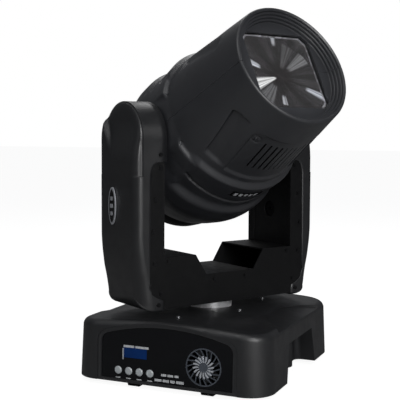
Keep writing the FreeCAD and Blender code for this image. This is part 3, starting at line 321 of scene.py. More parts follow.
def powder_coated(name, colour, roughness):
    """Textured powder coat: an orange-peel skin with sparse pale specks."""
    finish = Finish(name, colour, roughness)
    finish.shine(0.3)
    finish.tint(finish.ramp(finish.noise(22, 5), 0.4, 0.7, 0, 0.5), [c * 0.65 for c in colour])
    finish.tint(finish.ramp(finish.cells(260), 0.10, 0.05, 0, 0.25), [0.09, 0.09, 0.095])
    finish.gloss(finish.noise(90, 3), 0.3, 0.7, roughness - 0.06, roughness + 0.08)
    finish.bump(finish.noise(700, 3), 0.09)
    return finish.done()


def metal(name, colour, roughness, stretch=(1, 1, 40), scale=60.0, metallic=1.0):
    """Metal, bare or plated, with the fine lines its last machining left."""
    finish = Finish(name, colour, roughness, metallic)
    lines = finish.noise(scale, 4, stretch)
    finish.tint(finish.ramp(lines, 0.35, 0.7, 0, 0.5), [c * 0.7 for c in colour])
    finish.gloss(lines, 0.3, 0.7, roughness - 0.06, roughness + 0.1)
    finish.bump(lines, 0.02)
    return finish.done()


def gloss_panel():
    """Screen-printed acrylic over black, with faint wiping marks."""
    finish = Finish("panel_gloss", (0.0022, 0.0026, 0.0038), 0.2)
    smudge = finish.noise(30, 6, (1, 1, 2.5))
    finish.tint(finish.ramp(smudge, 0.45, 0.8, 0, 0.6), (0.005, 0.0056, 0.007))
    finish.shine(0.35)
    finish.gloss(smudge, 0.35, 0.75, 0.12, 0.27)
    finish.bump(finish.noise(500, 2), 0.006)
    return finish.done()


def liquid_crystal():
    """A backlit blue display with its fine pixel grid and an uneven backlight."""
    finish = Finish("display_blue", (0.0012, 0.0125, 0.062), 0.18)
    finish.tint(finish.ramp(finish.noise(60, 3), 0.35, 0.7, 0, 0.5), (0.001, 0.02, 0.1))
    finish.tint(finish.ramp(finish.wave(420, "X"), 0.75, 1.0, 0, 0.35), (0.0005, 0.006, 0.03))
    finish.tint(finish.ramp(finish.wave(420, "Z"), 0.75, 1.0, 0, 0.35), (0.0005, 0.006, 0.03))
    finish.shine(0.2)
    finish.gloss(finish.noise(25, 3), 0.3, 0.7, 0.14, 0.22)
    finish.glow(finish.colour, 0.55)
    return finish.done()


def matt(name, colour=(0.009, 0.009, 0.0095)):
    """Matt rubber or dull plastic with a dusty bloom."""
    finish = Finish(name, colour, 0.8)
    finish.shine(0.25)
    finish.tint(finish.ramp(finish.noise(120, 5), 0.5, 0.75, 0, 0.4), [c * 2.3 for c in colour])
    finish.gloss(finish.noise(80, 3), 0.3, 0.7, 0.72, 0.9)
    finish.bump(finish.noise(1500, 2), 0.05)
    return finish.done()


def circuit_board():
    """Green solder mask with copper tracks showing through and pale component marks."""
    finish = Finish("board_green", (0.006, 0.05, 0.018), 0.35)
    finish.tint(finish.ramp(finish.wave(90, "X", 6), 0.8, 0.95, 0, 0.8), (0.012, 0.09, 0.03))
    finish.tint(finish.ramp(finish.cells(120), 0.12, 0.08, 0, 0.9), (0.5, 0.42, 0.25))
    finish.bump(finish.wave(90, "X", 6), 0.03)
    return finish.done()


def clear_glass():
    """Coated clear glass with a trace of dust."""
    finish = Finish("lens_glass", (0.98, 0.985, 0.99), 0.0)
    finish.surface.inputs["Transmission Weight"].default_value = 1.0
    finish.surface.inputs["IOR"].default_value = 1.45
    finish.gloss(finish.noise(45, 5), 0.5, 0.8, 0.0, 0.06)
    return finish.done()


def mirror_facets():
    """Vacuum-coated reflector with a painted reflection: darker streaks in its colour and a bright room
    painted in as glowing rays that fan out from the lens axis.
    """
    finish = Finish("mirror_coat", (0.8, 0.8, 0.82), 0.12, metallic=1.0).seen_from(HEAD)
    turn = finish.round_axis()
    # Darker streaks round the axis in the coat's colour: painted reflection.
    finish.tint(finish.ramp(finish.streaks(turn, 26, 3), 0.42, 0.62, 0, 0.8), (0.25, 0.245, 0.245))
    finish.gloss(finish.noise(40, 3), 0.3, 0.75, 0.08, 0.2)
    # Glowing rays: a painted reflection of a bright room, as emission.
    glow = finish.constant((0.075, 0.073, 0.076))
    for scale, low, high, share, colour in ((7, 0.48, 0.60, 0.8, (0.14, 0.14, 0.15)),
                                            (19, 0.56, 0.66, 0.7, (0.3, 0.3, 0.32)),
                                            (90, 0.60, 0.70, 0.4, (0.5, 0.5, 0.54))):
        glow = finish.blend(glow, finish.ramp(finish.streaks(turn, scale, 2), low, high, 0, share), colour)
    finish.glow(glow, 0.7)
    return finish.done()


def facet_glass():
    """Tinted facets in front of the horn, with the bright parts of a room painted on some of them as glowing
    reflections.
    """
    finish = Finish("facet_glass", (0.12, 0.118, 0.12), 0.16, metallic=0.8).seen_from(HEAD)
    turn = finish.round_axis()
    away = finish.distance()
    # Lighter streaks round the axis: painted reflection. The next tint makes the colour darker towards the
    # middle.
    finish.tint(finish.ramp(finish.streaks(turn, 17, 2), 0.42, 0.6, 0, 0.8), (0.26, 0.26, 0.27))
    finish.tint(finish.ramp(away, 0.034, 0.012, 0, 0.75), (0.035, 0.026, 0.024))
    finish.gloss(finish.noise(60, 3), 0.3, 0.7, 0.12, 0.24)
    # Glowing rays and patches: painted reflections, as emission.
    glow = finish.constant((0.02, 0.018, 0.018))
    rays = finish.ramp(finish.streaks(turn, 110, 2), 0.38, 0.6, 0.35, 1)
    soft = 0.004
    for (start, end), (near, far), colour in PAINTED_FACET_REFLECTIONS:
        sides = finish.window(turn, start + soft, end - soft, 2 * soft, 2 * soft)
        ends = finish.window(away, near * MM, far * MM, 6 * MM, 2 * MM)
        glow = finish.blend(glow, finish.product(rays, finish.product(sides, ends)), colour)
    finish.glow(glow, 0.8)
    return finish.done()


def light_emitter():
    """The yellow phosphor of the light source, in a grid of dies."""
    finish = Finish("emitter_phosphor", (0.7, 0.52, 0.1), 0.4)
    finish.tint(finish.ramp(finish.wave(260, "X"), 0.8, 1.0, 0, 0.7), (0.2, 0.15, 0.05))
    finish.bump(finish.cells(700), 0.05)
    return finish.done()


def dark_label():
    """A blank satin label foil, darker than the shell it lies in."""
    finish = Finish("label_dark", (0.0035, 0.0035, 0.004), 0.22)
    finish.tint(finish.ramp(finish.noise(70, 4), 0.5, 0.8, 0, 0.5), (0.010, 0.010, 0.012))
    finish.gloss(finish.noise(60, 4), 0.3, 0.7, 0.18, 0.32)
    return finish.done()


def print_ink():
    """Pale screen-printed ink, a little worn."""
    finish = Finish("print_ink", (0.62, 0.64, 0.66), 0.5)
    finish.tint(finish.ramp(finish.noise(260, 5), 0.5, 0.75, 0, 0.6), (0.2, 0.21, 0.22))
    finish.bump(finish.noise(900, 2), 0.02)
    return finish.done()


# Painted reflections on the facets: turns round the lens axis, distances from it in millimetres, and the
# brightness painted there as glow.
PAINTED_FACET_REFLECTIONS = [
    ((0.03, 0.078), (14, 90), (1.15, 1.15, 1.15)),
    ((0.945, 0.972), (46, 60), (0.85, 0.88, 0.95)),
    ((0.395, 0.42), (50, 90), (0.7, 0.73, 0.8)),
    ((0.19, 0.212), (45, 58), (0.6, 0.62, 0.66)),
    ((0.738, 0.76), (54, 63), (0.6, 0.62, 0.66)),
    ((0.55, 0.61), (26, 60), (0.22, 0.22, 0.225)),
    ((0.09, 0.15), (30, 90), (0.16, 0.16, 0.165)),
    ((0.64, 0.70), (20, 56), (0.10, 0.098, 0.10)),
]
CHARCOAL = (0.0225, 0.0235, 0.0270)
# The head shells get a lighter copy of the charcoal than arms and base: painted light for the brighter light
# that falls on the barrel.
shell_plastic = moulded("shell_plastic", [c * 1.35 for c in CHARCOAL], 0.41)
arm_plastic = moulded("arm_plastic", [c * 0.5 for c in CHARCOAL], 0.42)
base_plastic = moulded("base_plastic", [c * 0.5 for c in CHARCOAL], 0.44, grain=1000, depth=0.05)
cap_plastic = moulded("cap_plastic", (0.003, 0.0032, 0.0038), 0.6, specular=0.3)
fan_plastic = moulded("fan_plastic", (0.008, 0.008, 0.009), 0.35)
socket_plastic = moulded("socket_plastic", (0.011, 0.011, 0.012), 0.4)
button_plastic = moulded("button_plastic", (0.50, 0.54, 0.56), 0.3, grain=2000, depth=0.01)
yoke_paint = powder_coated("yoke_paint", (0.0058, 0.0059, 0.0065), 0.46)
grille_metal = metal("grille_metal", (0.26, 0.29, 0.34), 0.45, (1, 1, 1), 300)
petal_metal = metal("petal_metal", (0.62, 0.65, 0.70), 0.3, (1, 1, 1), 300, 0.3)
screw_black = metal("screw_black", (0.05, 0.05, 0.053), 0.34, (1, 1, 1), 700)
bright_screw = metal("bright_screw", (0.8, 0.81, 0.84), 0.3, (1, 1, 1), 500)
bare_steel = metal("bare_steel", (0.55, 0.55, 0.56), 0.3)
aluminium = metal("aluminium", (0.96, 0.96, 0.97), 0.34, (1, 1, 30))
black_aluminium = metal("black_aluminium", (0.02, 0.02, 0.022), 0.4, (1, 1, 20))
silver = metal("silver_rim", (0.62, 0.64, 0.68), 0.4, (1, 1, 1), 400, 0.5)
# Aluminium with only part of it metallic, the rest diffuse white, so the collar looks bright in the yoke's
# shadow: a painted reflection.
ring_metal = metal("ring_metal", (0.95, 0.95, 0.97), 0.3, (1, 1, 30), 60, 0.4)
panel_gloss = gloss_panel()
display_blue = liquid_crystal()
foot_rubber = matt("foot_rubber")
belt_rubber = matt("belt_rubber", (0.006, 0.006, 0.006))
board_green = circuit_board()
lens_glass = clear_glass()
mirror_coat = mirror_facets()
facet_tint = facet_glass()
emitter_phosphor = light_emitter()
label_dark = dark_label()
# Near-black matt for the vent panels under the slots and, as material 2 of the shells, for the slot walls:
# painted shade, so the slots read as dark openings.
vent_black_painted_shade = matt("vent_black_painted_shade", (0.0012, 0.0012, 0.0014))
ink = print_ink()

NODE_FINISHES = {
    base_plastic: ["base_cover"],
    cap_plastic: ["rear_cap"],
    vent_black_painted_shade: ["upper_vent_panel", "lower_vent_panel"],
    fan_plastic: ["base_fan_frame", "base_fan_rotor", "head_fan_frame", "head_fan_rotor"],
    socket_plastic: ["power_inlet", "fuse_holder", "data_sockets"],
    button_plastic: ["button_1", "button_2", "button_3", "button_4"],
    yoke_paint: ["yoke_frame", "arm_flanges", "rear_panel"],
    grille_metal: ["fan_grille"],
    bright_screw: ["cover_screws"],
    screw_black: ["foot_screws", "yoke_screws", "arm_cover_screws"],
    shell_plastic: ["vent_screws"],
    bare_steel: ["base_plate", "pan_carrier", "pan_bearing", "right_tilt_bearing", "left_tilt_bearing",
                 "right_trunnion", "left_trunnion", "power_supply"],
    aluminium: ["pan_tube", "pan_pulley", "pan_motor_pulley", "tilt_pulley", "tilt_motor_pulley",
                "head_chassis", "heat_sink"],
    black_aluminium: ["pan_motor", "tilt_motor"],
    silver: ["arm_badges"],
    panel_gloss: ["front_panel"],
    display_blue: ["display"],
    foot_rubber: ["feet"],
    belt_rubber: ["pan_belt", "tilt_belt"],
    board_green: ["control_board", "driver_board", "sensor_board", "emitter_board"],
    lens_glass: ["front_lens"],
    mirror_coat: ["horn"],
    emitter_phosphor: ["light_source"],
}
SOFT_EDGES = {"base_cover": 1.6, "front_panel": 0.5, "rear_cap": 1.5, "yoke_frame": 0}


def geometry_steps(name, build):
    """A modifier's node group: build takes the incoming mesh and returns the end of its steps."""
    group = bpy.data.node_groups.new(name, "GeometryNodeTree")
    group.interface.new_socket("Geometry", in_out="INPUT", socket_type="NodeSocketGeometry")
    group.interface.new_socket("Geometry", in_out="OUTPUT", socket_type="NodeSocketGeometry")
    start, end = group.nodes.new("NodeGroupInput"), group.nodes.new("NodeGroupOutput")
    group.links.new(build(group, start.outputs[0]), end.inputs[0])
    return group


def make_whole(group, geometry):
    """Drops the stored normals and joins the vertices that were split along creases."""
    name, reach = {"Name": "custom_normal"}, {"Distance": 0.004 * MM}
    plain = add_node(group, "GeometryNodeRemoveAttribute", "Geometry", name, {"Geometry": geometry})
    return add_node(group, "GeometryNodeMergeByDistance", "Geometry", reach, {"Geometry": plain})


def crease_edges(group, geometry):
    """Shades faces smooth, apart from edges that turn more than 30 degrees."""
    shading = "GeometryNodeSetShadeSmooth"
    turn = add_node(group, "GeometryNodeInputMeshEdgeAngle", "Unsigned Angle")
    sharp = add_node(group, "FunctionNodeCompare", "Result", {"B": math.radians(30)}, {"A": turn})
    faces = add_node(group, shading, "Geometry", {}, {"Geometry": geometry})
    links = {"Selection": sharp, "Geometry": faces}
    return add_node(group, shading, "Geometry", {"Shade Smooth": False}, links, domain="EDGE")


WHOLE = geometry_steps("whole", make_whole)
CREASES = geometry_steps("creases", crease_edges)


def finish_nodes():
    """Gives each node of the frame its finish, creased smooth shading and, but for sheet, broken edges."""
    for material, names in NODE_FINISHES.items():
        for name in names:
            node = frame["nodes"][name]
            node.data.materials.clear()
            node.data.materials.append(material)
            node.modifiers.new("whole", "NODES").node_group = WHOLE
            broken = SOFT_EDGES.get(name, 0.25)
            if broken:
                bevel = node.modifiers.new("edge", "BEVEL")
                bevel.width = broken * MM
                bevel.segments = 2
                bevel.angle_limit = math.radians(35)
            node.modifiers.new("creases", "NODES").node_group = CREASES
            node.modifiers.new("flats", "WEIGHTED_NORMAL").keep_sharp = True


# ------------------------ head shells

RIM_PLANE, RIM_RADIUS, RIM_LIP = 240.5, 101.2, 4.0
SHELL_REAR, SHELL_WALL, CHEEK, SPLIT_GAP = -95.0, 3.0, 125.0, 0.15
LENS_PLANE, LENS_REAR, LENS_HALF, LENS_CHAMFER = 222.1, 218.5, 65.0, 11.0
COLUMN_REACH, HOLE_COLUMN = 112.0, 105.2
SLOT_PITCH, SLOT_HALF, SLOT_COUNT, SLOT_SPAN = 10.0, 1.9, 9, (113.0, 171.0)
VENT_HALF, VENT_SPAN, VENT_CORNER, VENT_DEPTH = 64.5, (86.5, 94.0, 185.0), 14.0, 2.6
LABEL_SPAN, LABEL_REACH, LABEL_DEPTH = (41.0, 57.0), (-33.0, 29.0), 0.5


def profile(knots, s):
    """A polyline of radius over s with its corners softened."""
    places, radii = zip(*knots)
    spread = np.array([-2.0, -1.0, 0.0, 1.0, 2.0])
    weights = np.array([1.0, 4.0, 6.0, 4.0, 1.0]) / 16
    return sum(w * np.interp(s + shift, places, radii) for w, shift in zip(weights, spread))


REAR_DOME = [(SHELL_REAR, 116), (-75, 124.5), (-52, 133), (-40, 136), (-28, 137.5)]
BARREL = [(118, 116.6), (RIM_PLANE - RIM_LIP, RIM_RADIUS)]


def bellied_radius(s):
    """Along the middle: the rear dome, two stepped ribs and the tapering barrel."""
    ribs = [(-4, 136.9), (8, 128.6), (45, 128.7), (70, 129.2), (78.5, 121.2)]
    return profile(REAR_DOME + ribs + BARREL, s)


def cheek_radius(fold, s):
    """Beside the arms: a short step down to the barrel, and next to the split line a long slope instead."""
    step = profile(REAR_DOME + [(-2, 137), (17, 132), (40, 129.5), (65, 128.6), (69.5, 121.8)] + BARREL, s)
    slope = profile(REAR_DOME + [(-2, 137), (17, 132), (36, 129.8), (73, 121.5)] + BARREL, s)
    beside = smooth(26.5, 22.5, fold)
    return step * (1 - beside) + slope * beside


def groove(distance, depth, width):
    """Depth of a soft line pressed in where distance is 0."""
    return depth * np.exp(-((distance / width) ** 2))


def vent_recess(x, s):
    """Depth of the outlined field that holds the slots: round front corners, screw rings, a rear ramp."""
    rear, level, front = VENT_SPAN
    over_x = np.maximum(np.abs(x) - (VENT_HALF - VENT_CORNER), 0)
    over_s = np.maximum(s - (front - VENT_CORNER), 0)
    outside = np.hypot(over_x, over_s) - VENT_CORNER
    ring = np.hypot(np.abs(x) - (VENT_HALF - 8), s - (front - 14)) - 6.3
    depth = VENT_DEPTH * smooth(0.7, -0.7, outside) + groove(outside, 2.8, 1.1)
    return (depth + groove(ring, 1.2, 1.0)) * smooth(rear, level, s)


def side_trough(x, s):
    """Depth of the long hollow beside the vents, wider towards the rear, its outer edge outlined."""
    rear, level, front = 90.0, 99.0, 190.0
    inner = 82 - 9 * (front - s) / (front - rear)
    across = np.abs(x)
    corner = np.hypot(np.maximum(across - 86, 0), np.maximum(s - (front - 8), 0)) - 8
    soft_inner = smooth(inner - 8, inner + 5, across)
    depth = 4.4 * smooth(0.9, -0.9, corner) + groove(corner, 1.8, 1.1)
    return depth * soft_inner * smooth(rear, level, s)


def rib_groove(fold, s):
    """Depth of the groove under the label rib, which turns up at its ends. fold is 0 at the split line."""
    end, radius = 40.6, 9.0
    along = (fold - end) * math.radians(1) * 129
    level = 35 - 0.125 * np.clip(along, 0, 110)
    distance = radius - np.hypot(np.minimum(along - radius, 0), np.minimum(s - level - radius, 0))
    return groove(distance, 3.6, 1.9) * smooth(74, 64, s)


def cheek_marks(fold, s):
    """Depth of the line that runs back along the cheek, and of the small screw hole at its front end."""
    line = np.abs(fold - 23.5) * math.radians(1) * 129
    hole = np.hypot((fold - 26.4) * math.radians(1) * 123, s - 69)
    ends = smooth(24, 28, s) * smooth(64, 58, s)
    return groove(line, 1.9, 1.4) * ends + 3.5 * smooth(2.8, 1.4, hole)


def shell_radius(x, s):
    """Outer radius of a half shell at distance x from its middle plane."""
    nominal = bellied_radius(s)
    fold = np.degrees(np.arccos(np.clip(np.abs(x) / nominal, 0, 1)))
    middle = smooth(37, 41, fold)
    radius = middle * nominal + (1 - middle) * cheek_radius(fold, s)
    label = ((x > LABEL_REACH[0] - 0.1) & (x < LABEL_REACH[1] + 0.1) & (s > LABEL_SPAN[0] - 0.1)
             & (s < LABEL_SPAN[1] + 0.1))
    pressed = vent_recess(x, s) + side_trough(x, s) + rib_groove(fold, s) + cheek_marks(fold, s)
    return radius - pressed - LABEL_DEPTH * label


def shell_columns():
    """Places across a half shell: exact at slots, label, cheek holes and the corners of the lens opening."""
    slots = [SLOT_PITCH * (i - SLOT_COUNT // 2) + edge for i in range(SLOT_COUNT)
             for edge in (-SLOT_HALF, 0, SLOT_HALF)]
    corner = math.degrees(math.atan2(LENS_HALF - LENS_CHAMFER, LENS_HALF))
    corners = [COLUMN_REACH * math.cos(math.radians(turn))
               for turn in (corner, 90 - corner, 90 + corner, 180 - corner)]
    steps = np.concatenate([np.arange(-46, 47, 3.4), np.arange(47, 97, 1.4), -np.arange(47, 97, 1.4)])
    rounds = COLUMN_REACH * np.cos(np.radians([0, 0.55, 1.4, 2.8, 4.5, *np.arange(6.5, 30, 1.6)]))
    ends = [COLUMN_REACH, -COLUMN_REACH]
    outline = [sign * (VENT_HALF + shift) for sign in (1, -1) for shift in (-1.6, -0.8, 0, 0.8, 1.6)]
    hole = [sign * (HOLE_COLUMN + 0.2 * step) for sign in (1, -1) for step in range(-4, 5)]
    exact = slots + corners + ends + outline + hole + list(LABEL_REACH)
    return merged(np.concatenate([steps, rounds, -rounds]), exact, 0.004)


def lip_section():
    """Radius and height from the rim's edge inwards: the rolled lip, then steps down to the lens frame."""
    section = []
    for turn in np.radians(np.arange(12, 91, 13)):
        out, up = RIM_LIP * math.cos(turn), RIM_LIP * math.sin(turn)
        section.append((RIM_RADIUS - RIM_LIP + out, RIM_PLANE - RIM_LIP + up))
    radius, level, count, fall = RIM_RADIUS - RIM_LIP - 2.0, RIM_PLANE - 1.6, 4, 3.3
    drop = (level - LENS_PLANE) / count
    for step in range(count):
        section += [(radius, level), (radius - 0.25, level - drop + 0.7), (radius - 0.9, level - drop)]
        radius, level = radius - fall, level - drop
        section.append((radius + 0.45, level))
    return section


def lens_edge(cosine, sine):
    """Distance from the lens axis to the chamfered square opening, in a direction."""
    across, along = np.maximum(np.abs(cosine), 1e-9), np.maximum(np.abs(sine), 1e-9)
    chamfer = (2 * LENS_HALF - LENS_CHAMFER) / (across + along)
    return np.minimum(np.minimum(LENS_HALF / across, LENS_HALF / along), chamfer)


def shell_heights():
    """Row places along a half shell, close together over the ribs and the slots."""
    runs = ((SHELL_REAR, 14, 3.5), (14, 192, 1.3), (192, 236, 4))
    exact = [SHELL_REAR, *LABEL_SPAN, *SLOT_SPAN, LENS_REAR, RIM_PLANE - RIM_LIP]
    return merged(np.concatenate([np.arange(*run) for run in runs]), exact, 0.5)


def shell_points(columns, heights):
    """Rows of points over outer face, rim, lens frame and inner face, and how many rows are inner."""
    cosine = columns / COLUMN_REACH
    sine = np.sqrt(np.maximum(1 - cosine**2, 0))
    edge_weight = smooth(95, COLUMN_REACH, np.abs(columns))
    seam = 0.9 * smooth(1.0, 0.3, sine * COLUMN_REACH)
    opening = lens_edge(cosine, sine)

    def skin(s, inset):
        """A row on the outer face or inset below it. Columns run straight, then fan out at rim and edges."""
        nominal = bellied_radius(s)
        hold = (1 - edge_weight) * smooth(236, 205, s)
        across = columns * (1 + (1 - hold) * (nominal / COLUMN_REACH - 1))
        radius = shell_radius(across, np.full_like(across, s)) - inset - (seam if inset == 0 else 0)
        x = across * hold + radius * cosine * (1 - hold)
        n = np.sqrt(np.maximum(radius**2 - x**2, 0)) * (sine > 0)
        return np.sign(x) * soft_least(np.abs(x), CHEEK - inset, 1.2), n, np.full_like(x, s)

    def ring(radius, s):
        reach = np.maximum(radius, opening + 0.4)
        return reach * cosine, reach * sine, np.full_like(cosine, s) - seam

    rows = [skin(s, 0) for s in heights]
    rows += [ring(radius, s) for radius, s in lip_section()]
    rows += [(opening * cosine, opening * sine, np.full_like(cosine, s)) for s in (LENS_PLANE, LENS_REAR)]
    inner = [skin(s, SHELL_WALL) for s in heights[::-1] if s <= LENS_REAR]
    return np.array([np.stack(row, axis=1) for row in rows + inner]), len(inner)


def shell_faces(columns, heights, total, inner_count):
    """Faces of a half shell and their material numbers, with the slots cut through its wall."""
    width = len(columns)
    near = 0.1
    slot_rows = [row for row, s in enumerate(heights) if SLOT_SPAN[0] - near < s < SLOT_SPAN[1] + near]
    starts = [SLOT_PITCH * (i - SLOT_COUNT // 2) - SLOT_HALF for i in range(SLOT_COUNT)]
    slot_columns = [int(np.argmin(np.abs(columns - start))) for start in starts]
    cut = {(row, column + step) for row in slot_rows[:-1] for column in slot_columns for step in (0, 1)}
    cut |= {(total - 2 - row, column) for row, column in cut}
    label_columns = (columns > LABEL_REACH[0] - near) & (columns < LABEL_REACH[1] - near)
    label_rows = (heights > LABEL_SPAN[0] - near) & (heights < LABEL_SPAN[1] - near)

    faces, marks = [], []
    for row, column, quad in grid_faces(total, width, wrap_rows=True):
        if (row, column) not in cut:
            faces.append(quad)
            marks.append(1 if row < len(heights) and label_rows[row] and label_columns[column] else 0)

    def join(here, after, mark):
        """A face through the wall, between two neighbouring (row, column) places of the outer face."""
        outer = [row * width + column for row, column in (here, after)]
        inner = [(total - 1 - row) * width + column for row, column in (after, here)]
        faces.append(outer + inner)
        marks.append(mark)

    top, bottom = slot_rows[-1], slot_rows[0]
    # Walls round each slot take material 2, the near-black vent finish: painted shade on walls that are shell
    # plastic.
    for column in slot_columns:
        down = [(row, column) for row in reversed(slot_rows)]
        up = [(row, column + 2) for row in slot_rows]
        rim = down + [(bottom, column + 1)] + up + [(top, column + 1)]
        for here, after in zip(rim, rim[1:] + rim[:1]):
            join(here, after, 2)

    for column in (0, width - 1):
        for row in range(inner_count - 1):
            join((row, column), (row + 1, column), 0)
        faces.append([row * width + column for row in range(inner_count - 1, total - inner_count + 1)])
        marks.append(0)
    return faces, marks


def half_shell(name, node, side):
    """One moulded half of the head: a closed wall out over the rim to the lens frame, and back inside."""
    columns, heights = shell_columns(), shell_heights()
    points, inner_count = shell_points(columns, heights)
    points[:, :, 1] = side * (points[:, :, 1] + SPLIT_GAP)
    faces, marks = shell_faces(columns, heights, len(points), inner_count)
    materials = [shell_plastic, label_dark, vent_black_painted_shade]
    piece = add_piece(name, points.reshape(-1, 3), faces, HEAD, "head", materials, marks)
    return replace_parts(piece, node)


def facet_lens():
    """A shallow pyramid of flat facets in the mouth of the horn, with a ridge between each two of them."""
    count, rim_level, apex_level, thickness = 32, 212.6, 200.0, 1.5
    turns = 2 * np.pi * (np.arange(count) + 0.5) / count
    reach = lens_edge(np.cos(turns), np.sin(turns)) * (LENS_HALF - 3) / LENS_HALF
    ridges = np.where(np.arange(count) % 2 == 0, 1.3, 0)
    rings = []
    for share in (0.12, 0.55, 1.0):
        level = apex_level + (rim_level - apex_level) * share + ridges * math.sin(math.pi * min(share, 0.9))
        out = reach * share
        rings.append(np.stack([out * np.cos(turns), out * np.sin(turns), level], axis=1))
    front = np.concatenate(rings)
    tips = [[0, 0, apex_level], [0, 0, apex_level - thickness]]
    points = np.concatenate([front, front - [0, 0, thickness], tips])
    faces = [quad for _, _, quad in grid_faces(len(rings), count, wrap_columns=True)]
    faces += [tuple(len(front) + i for i in reversed(quad)) for quad in faces]
    last, back = (len(rings) - 1) * count, len(front)
    for i in range(count):
        after = (i + 1) % count
        faces.append((last + i, last + after, back + last + after, back + last + i))
        faces.append((i, after, 2 * back))
        faces.append((back + after, back + i, 2 * back + 1))
    add_piece("facet_lens", points, faces, HEAD, "head", [facet_tint], crease=1)


# ------------------------ arm covers

ARM_RADIUS, ARM_BOTTOM, ARM_INNER, ARM_SIDE = 59.7, 112.0, 127.6, 184.5
STEP_LEVEL, ARM_FOOT_SPINE = 327.0, 170.0


def arm_side(z):
    """How far out the arm's side face lies at a height."""
    levels = [ARM_BOTTOM, 115, 120, 130, 143, 161, 179, 205, 232]
    return np.interp(z, levels, [166, 169.5, 172, 174, 175.6, 178.6, 181.7, 183.6, ARM_SIDE])


def plate_edge(z):
    """Where the cover's front band starts, beside the edge of the yoke's plate."""
    levels = [129.6, 130, 135, 141, 157, 175, 329.5, 342, 346.5, 349, 349.6]
    return np.interp(z, levels, [133.7, 134.5, 146, 155, 159, 158.8, 156.5, 152.7, 148.5, 143.5, ARM_INNER])


def arm_outline():
    """Points round the cover's side view with unit inward normals: front, arch, rear, foot."""
    plate_foot, plate_top = [129.6, 130.4, 135, 141, 157], [342, 346.5, 349, 349.7]
    exact = plate_foot + [STEP_LEVEL - 0.4, STEP_LEVEL + 0.4] + plate_top + [TILT_HEIGHT]
    levels = merged(np.arange(132, TILT_HEIGHT, 6), exact, 1.4)
    outline = []

    def corner(y, z, radius, start):
        for turn in np.radians(np.linspace(start, start + 90, 7)):
            out_y, out_z = math.cos(turn), math.sin(turn)
            outline.append((y + radius * out_y, z + radius * out_z, -out_y, -out_z))

    outline += [(-ARM_RADIUS, z, 1, 0) for z in levels]
    for turn in np.radians(np.arange(176, 3, -4)):
        out_y, out_z = math.cos(turn), math.sin(turn)
        outline.append((ARM_RADIUS * out_y, TILT_HEIGHT + ARM_RADIUS * out_z, -out_y, -out_z))
    outline += [(ARM_RADIUS, z, -1, 0) for z in levels[::-1]]
    rear, front = len(outline), 14.0
    corner(ARM_RADIUS - front, ARM_BOTTOM + front, front, -90)
    outline[rear:] = outline[rear:][::-1]
    outline += [(y, ARM_BOTTOM, 0, 1) for y in np.linspace(ARM_RADIUS - 16, -ARM_RADIUS + 8, 9)]
    foot = len(outline)
    corner(-ARM_RADIUS + 4, ARM_BOTTOM + 4, 4, 180)
    outline[foot:] = outline[foot:][::-1]
    return np.array(outline)


def dished(y, z):
    """How deep the upper side face is pressed in, above a slanting step that falls towards the front."""
    (y0, z0), (y1, z1) = (41.0, 412.0), (12.0, 356.0)
    length = math.hypot(y1 - y0, z1 - z0)
    above = ((y1 - y0) * (z - z0) - (z1 - z0) * (y - y0)) / length
    return 9.3 * smooth(350, 415, z) * smooth(6, -1, above)


def arm_rows():
    """Rows of points along the outline: the flat band, the round-over, then the side face to its middle."""
    y, z, inward_y, inward_z = arm_outline().T
    spine_z = np.clip(z, ARM_FOOT_SPINE, TILT_HEIGHT)
    to_y, to_z = -y, spine_z - z
    reach = np.hypot(to_y, to_z)
    to_y, to_z = to_y / reach, to_z / reach
    facing = to_y * inward_y + to_z * inward_z
    upper = (z > STEP_LEVEL).astype(float)
    widen = 1 + 0.5 * smooth(230, 150, z)
    stepped = [(-14, 0), (-13, 1.3), (-11.5, 2.4), (-9.8, 2.65), (-7.4, 2.9), (-5, 4.4), (-2.7, 7),
               (-1, 10.8), (0, 16)]
    plain = [(-13, 0), (-10.5, 0.4), (-8.2, 1.2), (-6.3, 2.3), (-4.6, 3.8), (-3, 5.8), (-1.7, 8.2),
             (-0.6, 11.2), (0, 15)]
    start = plate_edge(z)
    rows = []
    edge_out = upper * stepped[0][0] + (1 - upper) * plain[0][0] * widen
    for share in (0, 0.25, 0.6, 0.93):
        rows.append((start + (arm_side(z) + edge_out - start) * share, y, z))
    for (out_step, deep_step), (out_plain, deep_plain) in zip(stepped, plain):
        out = upper * out_step + (1 - upper) * out_plain * widen
        deep = (upper * deep_step + (1 - upper) * deep_plain * widen) / facing
        row_y, row_z = y + to_y * deep, z + to_z * deep
        sunk = dished(row_y, row_z) * (1 - out / edge_out)
        rows.append((arm_side(row_z) + out - sunk, row_y, row_z))
    last_y, last_z = rows[-1][1], rows[-1][2]
    for share in np.linspace(0.06, 1, 15):
        row_y, row_z = last_y * (1 - share), last_z + (spine_z - last_z) * share
        rows.append((arm_side(row_z) - dished(row_y, row_z), row_y, row_z))
    return np.array([np.stack(row, axis=1) for row in rows])


def arm_cover(name, node, side):
    """A thin moulded cover: flat bands front and rear, a stepped round-over above, a dished upper side."""
    points = arm_rows()
    points[:, :, 0] *= side
    faces = [quad for _, _, quad in grid_faces(*points.shape[:2], wrap_columns=True)]
    points = points.reshape(-1, 3)
    piece = add_piece(name, points, faces, YOKE, "yoke", [arm_plastic], weld=True)
    shell = piece.modifiers.new("wall", "SOLIDIFY")
    shell.thickness = 2.6 * MM
    outwards = Vector(TILT_AXIS) * side
    flat = max(piece.data.polygons, key=lambda face: face.area if abs(face.normal.dot(outwards)) > 0.9 else 0)
    shell.offset = -1 if flat.normal.dot(outwards) > 0 else 1
    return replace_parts(piece, node)


# ------------------------ small pieces

RING_RADIUS, RING_LEVELS, RING_TEETH = 38.4, (97.2, 101.4, 114.6), 90


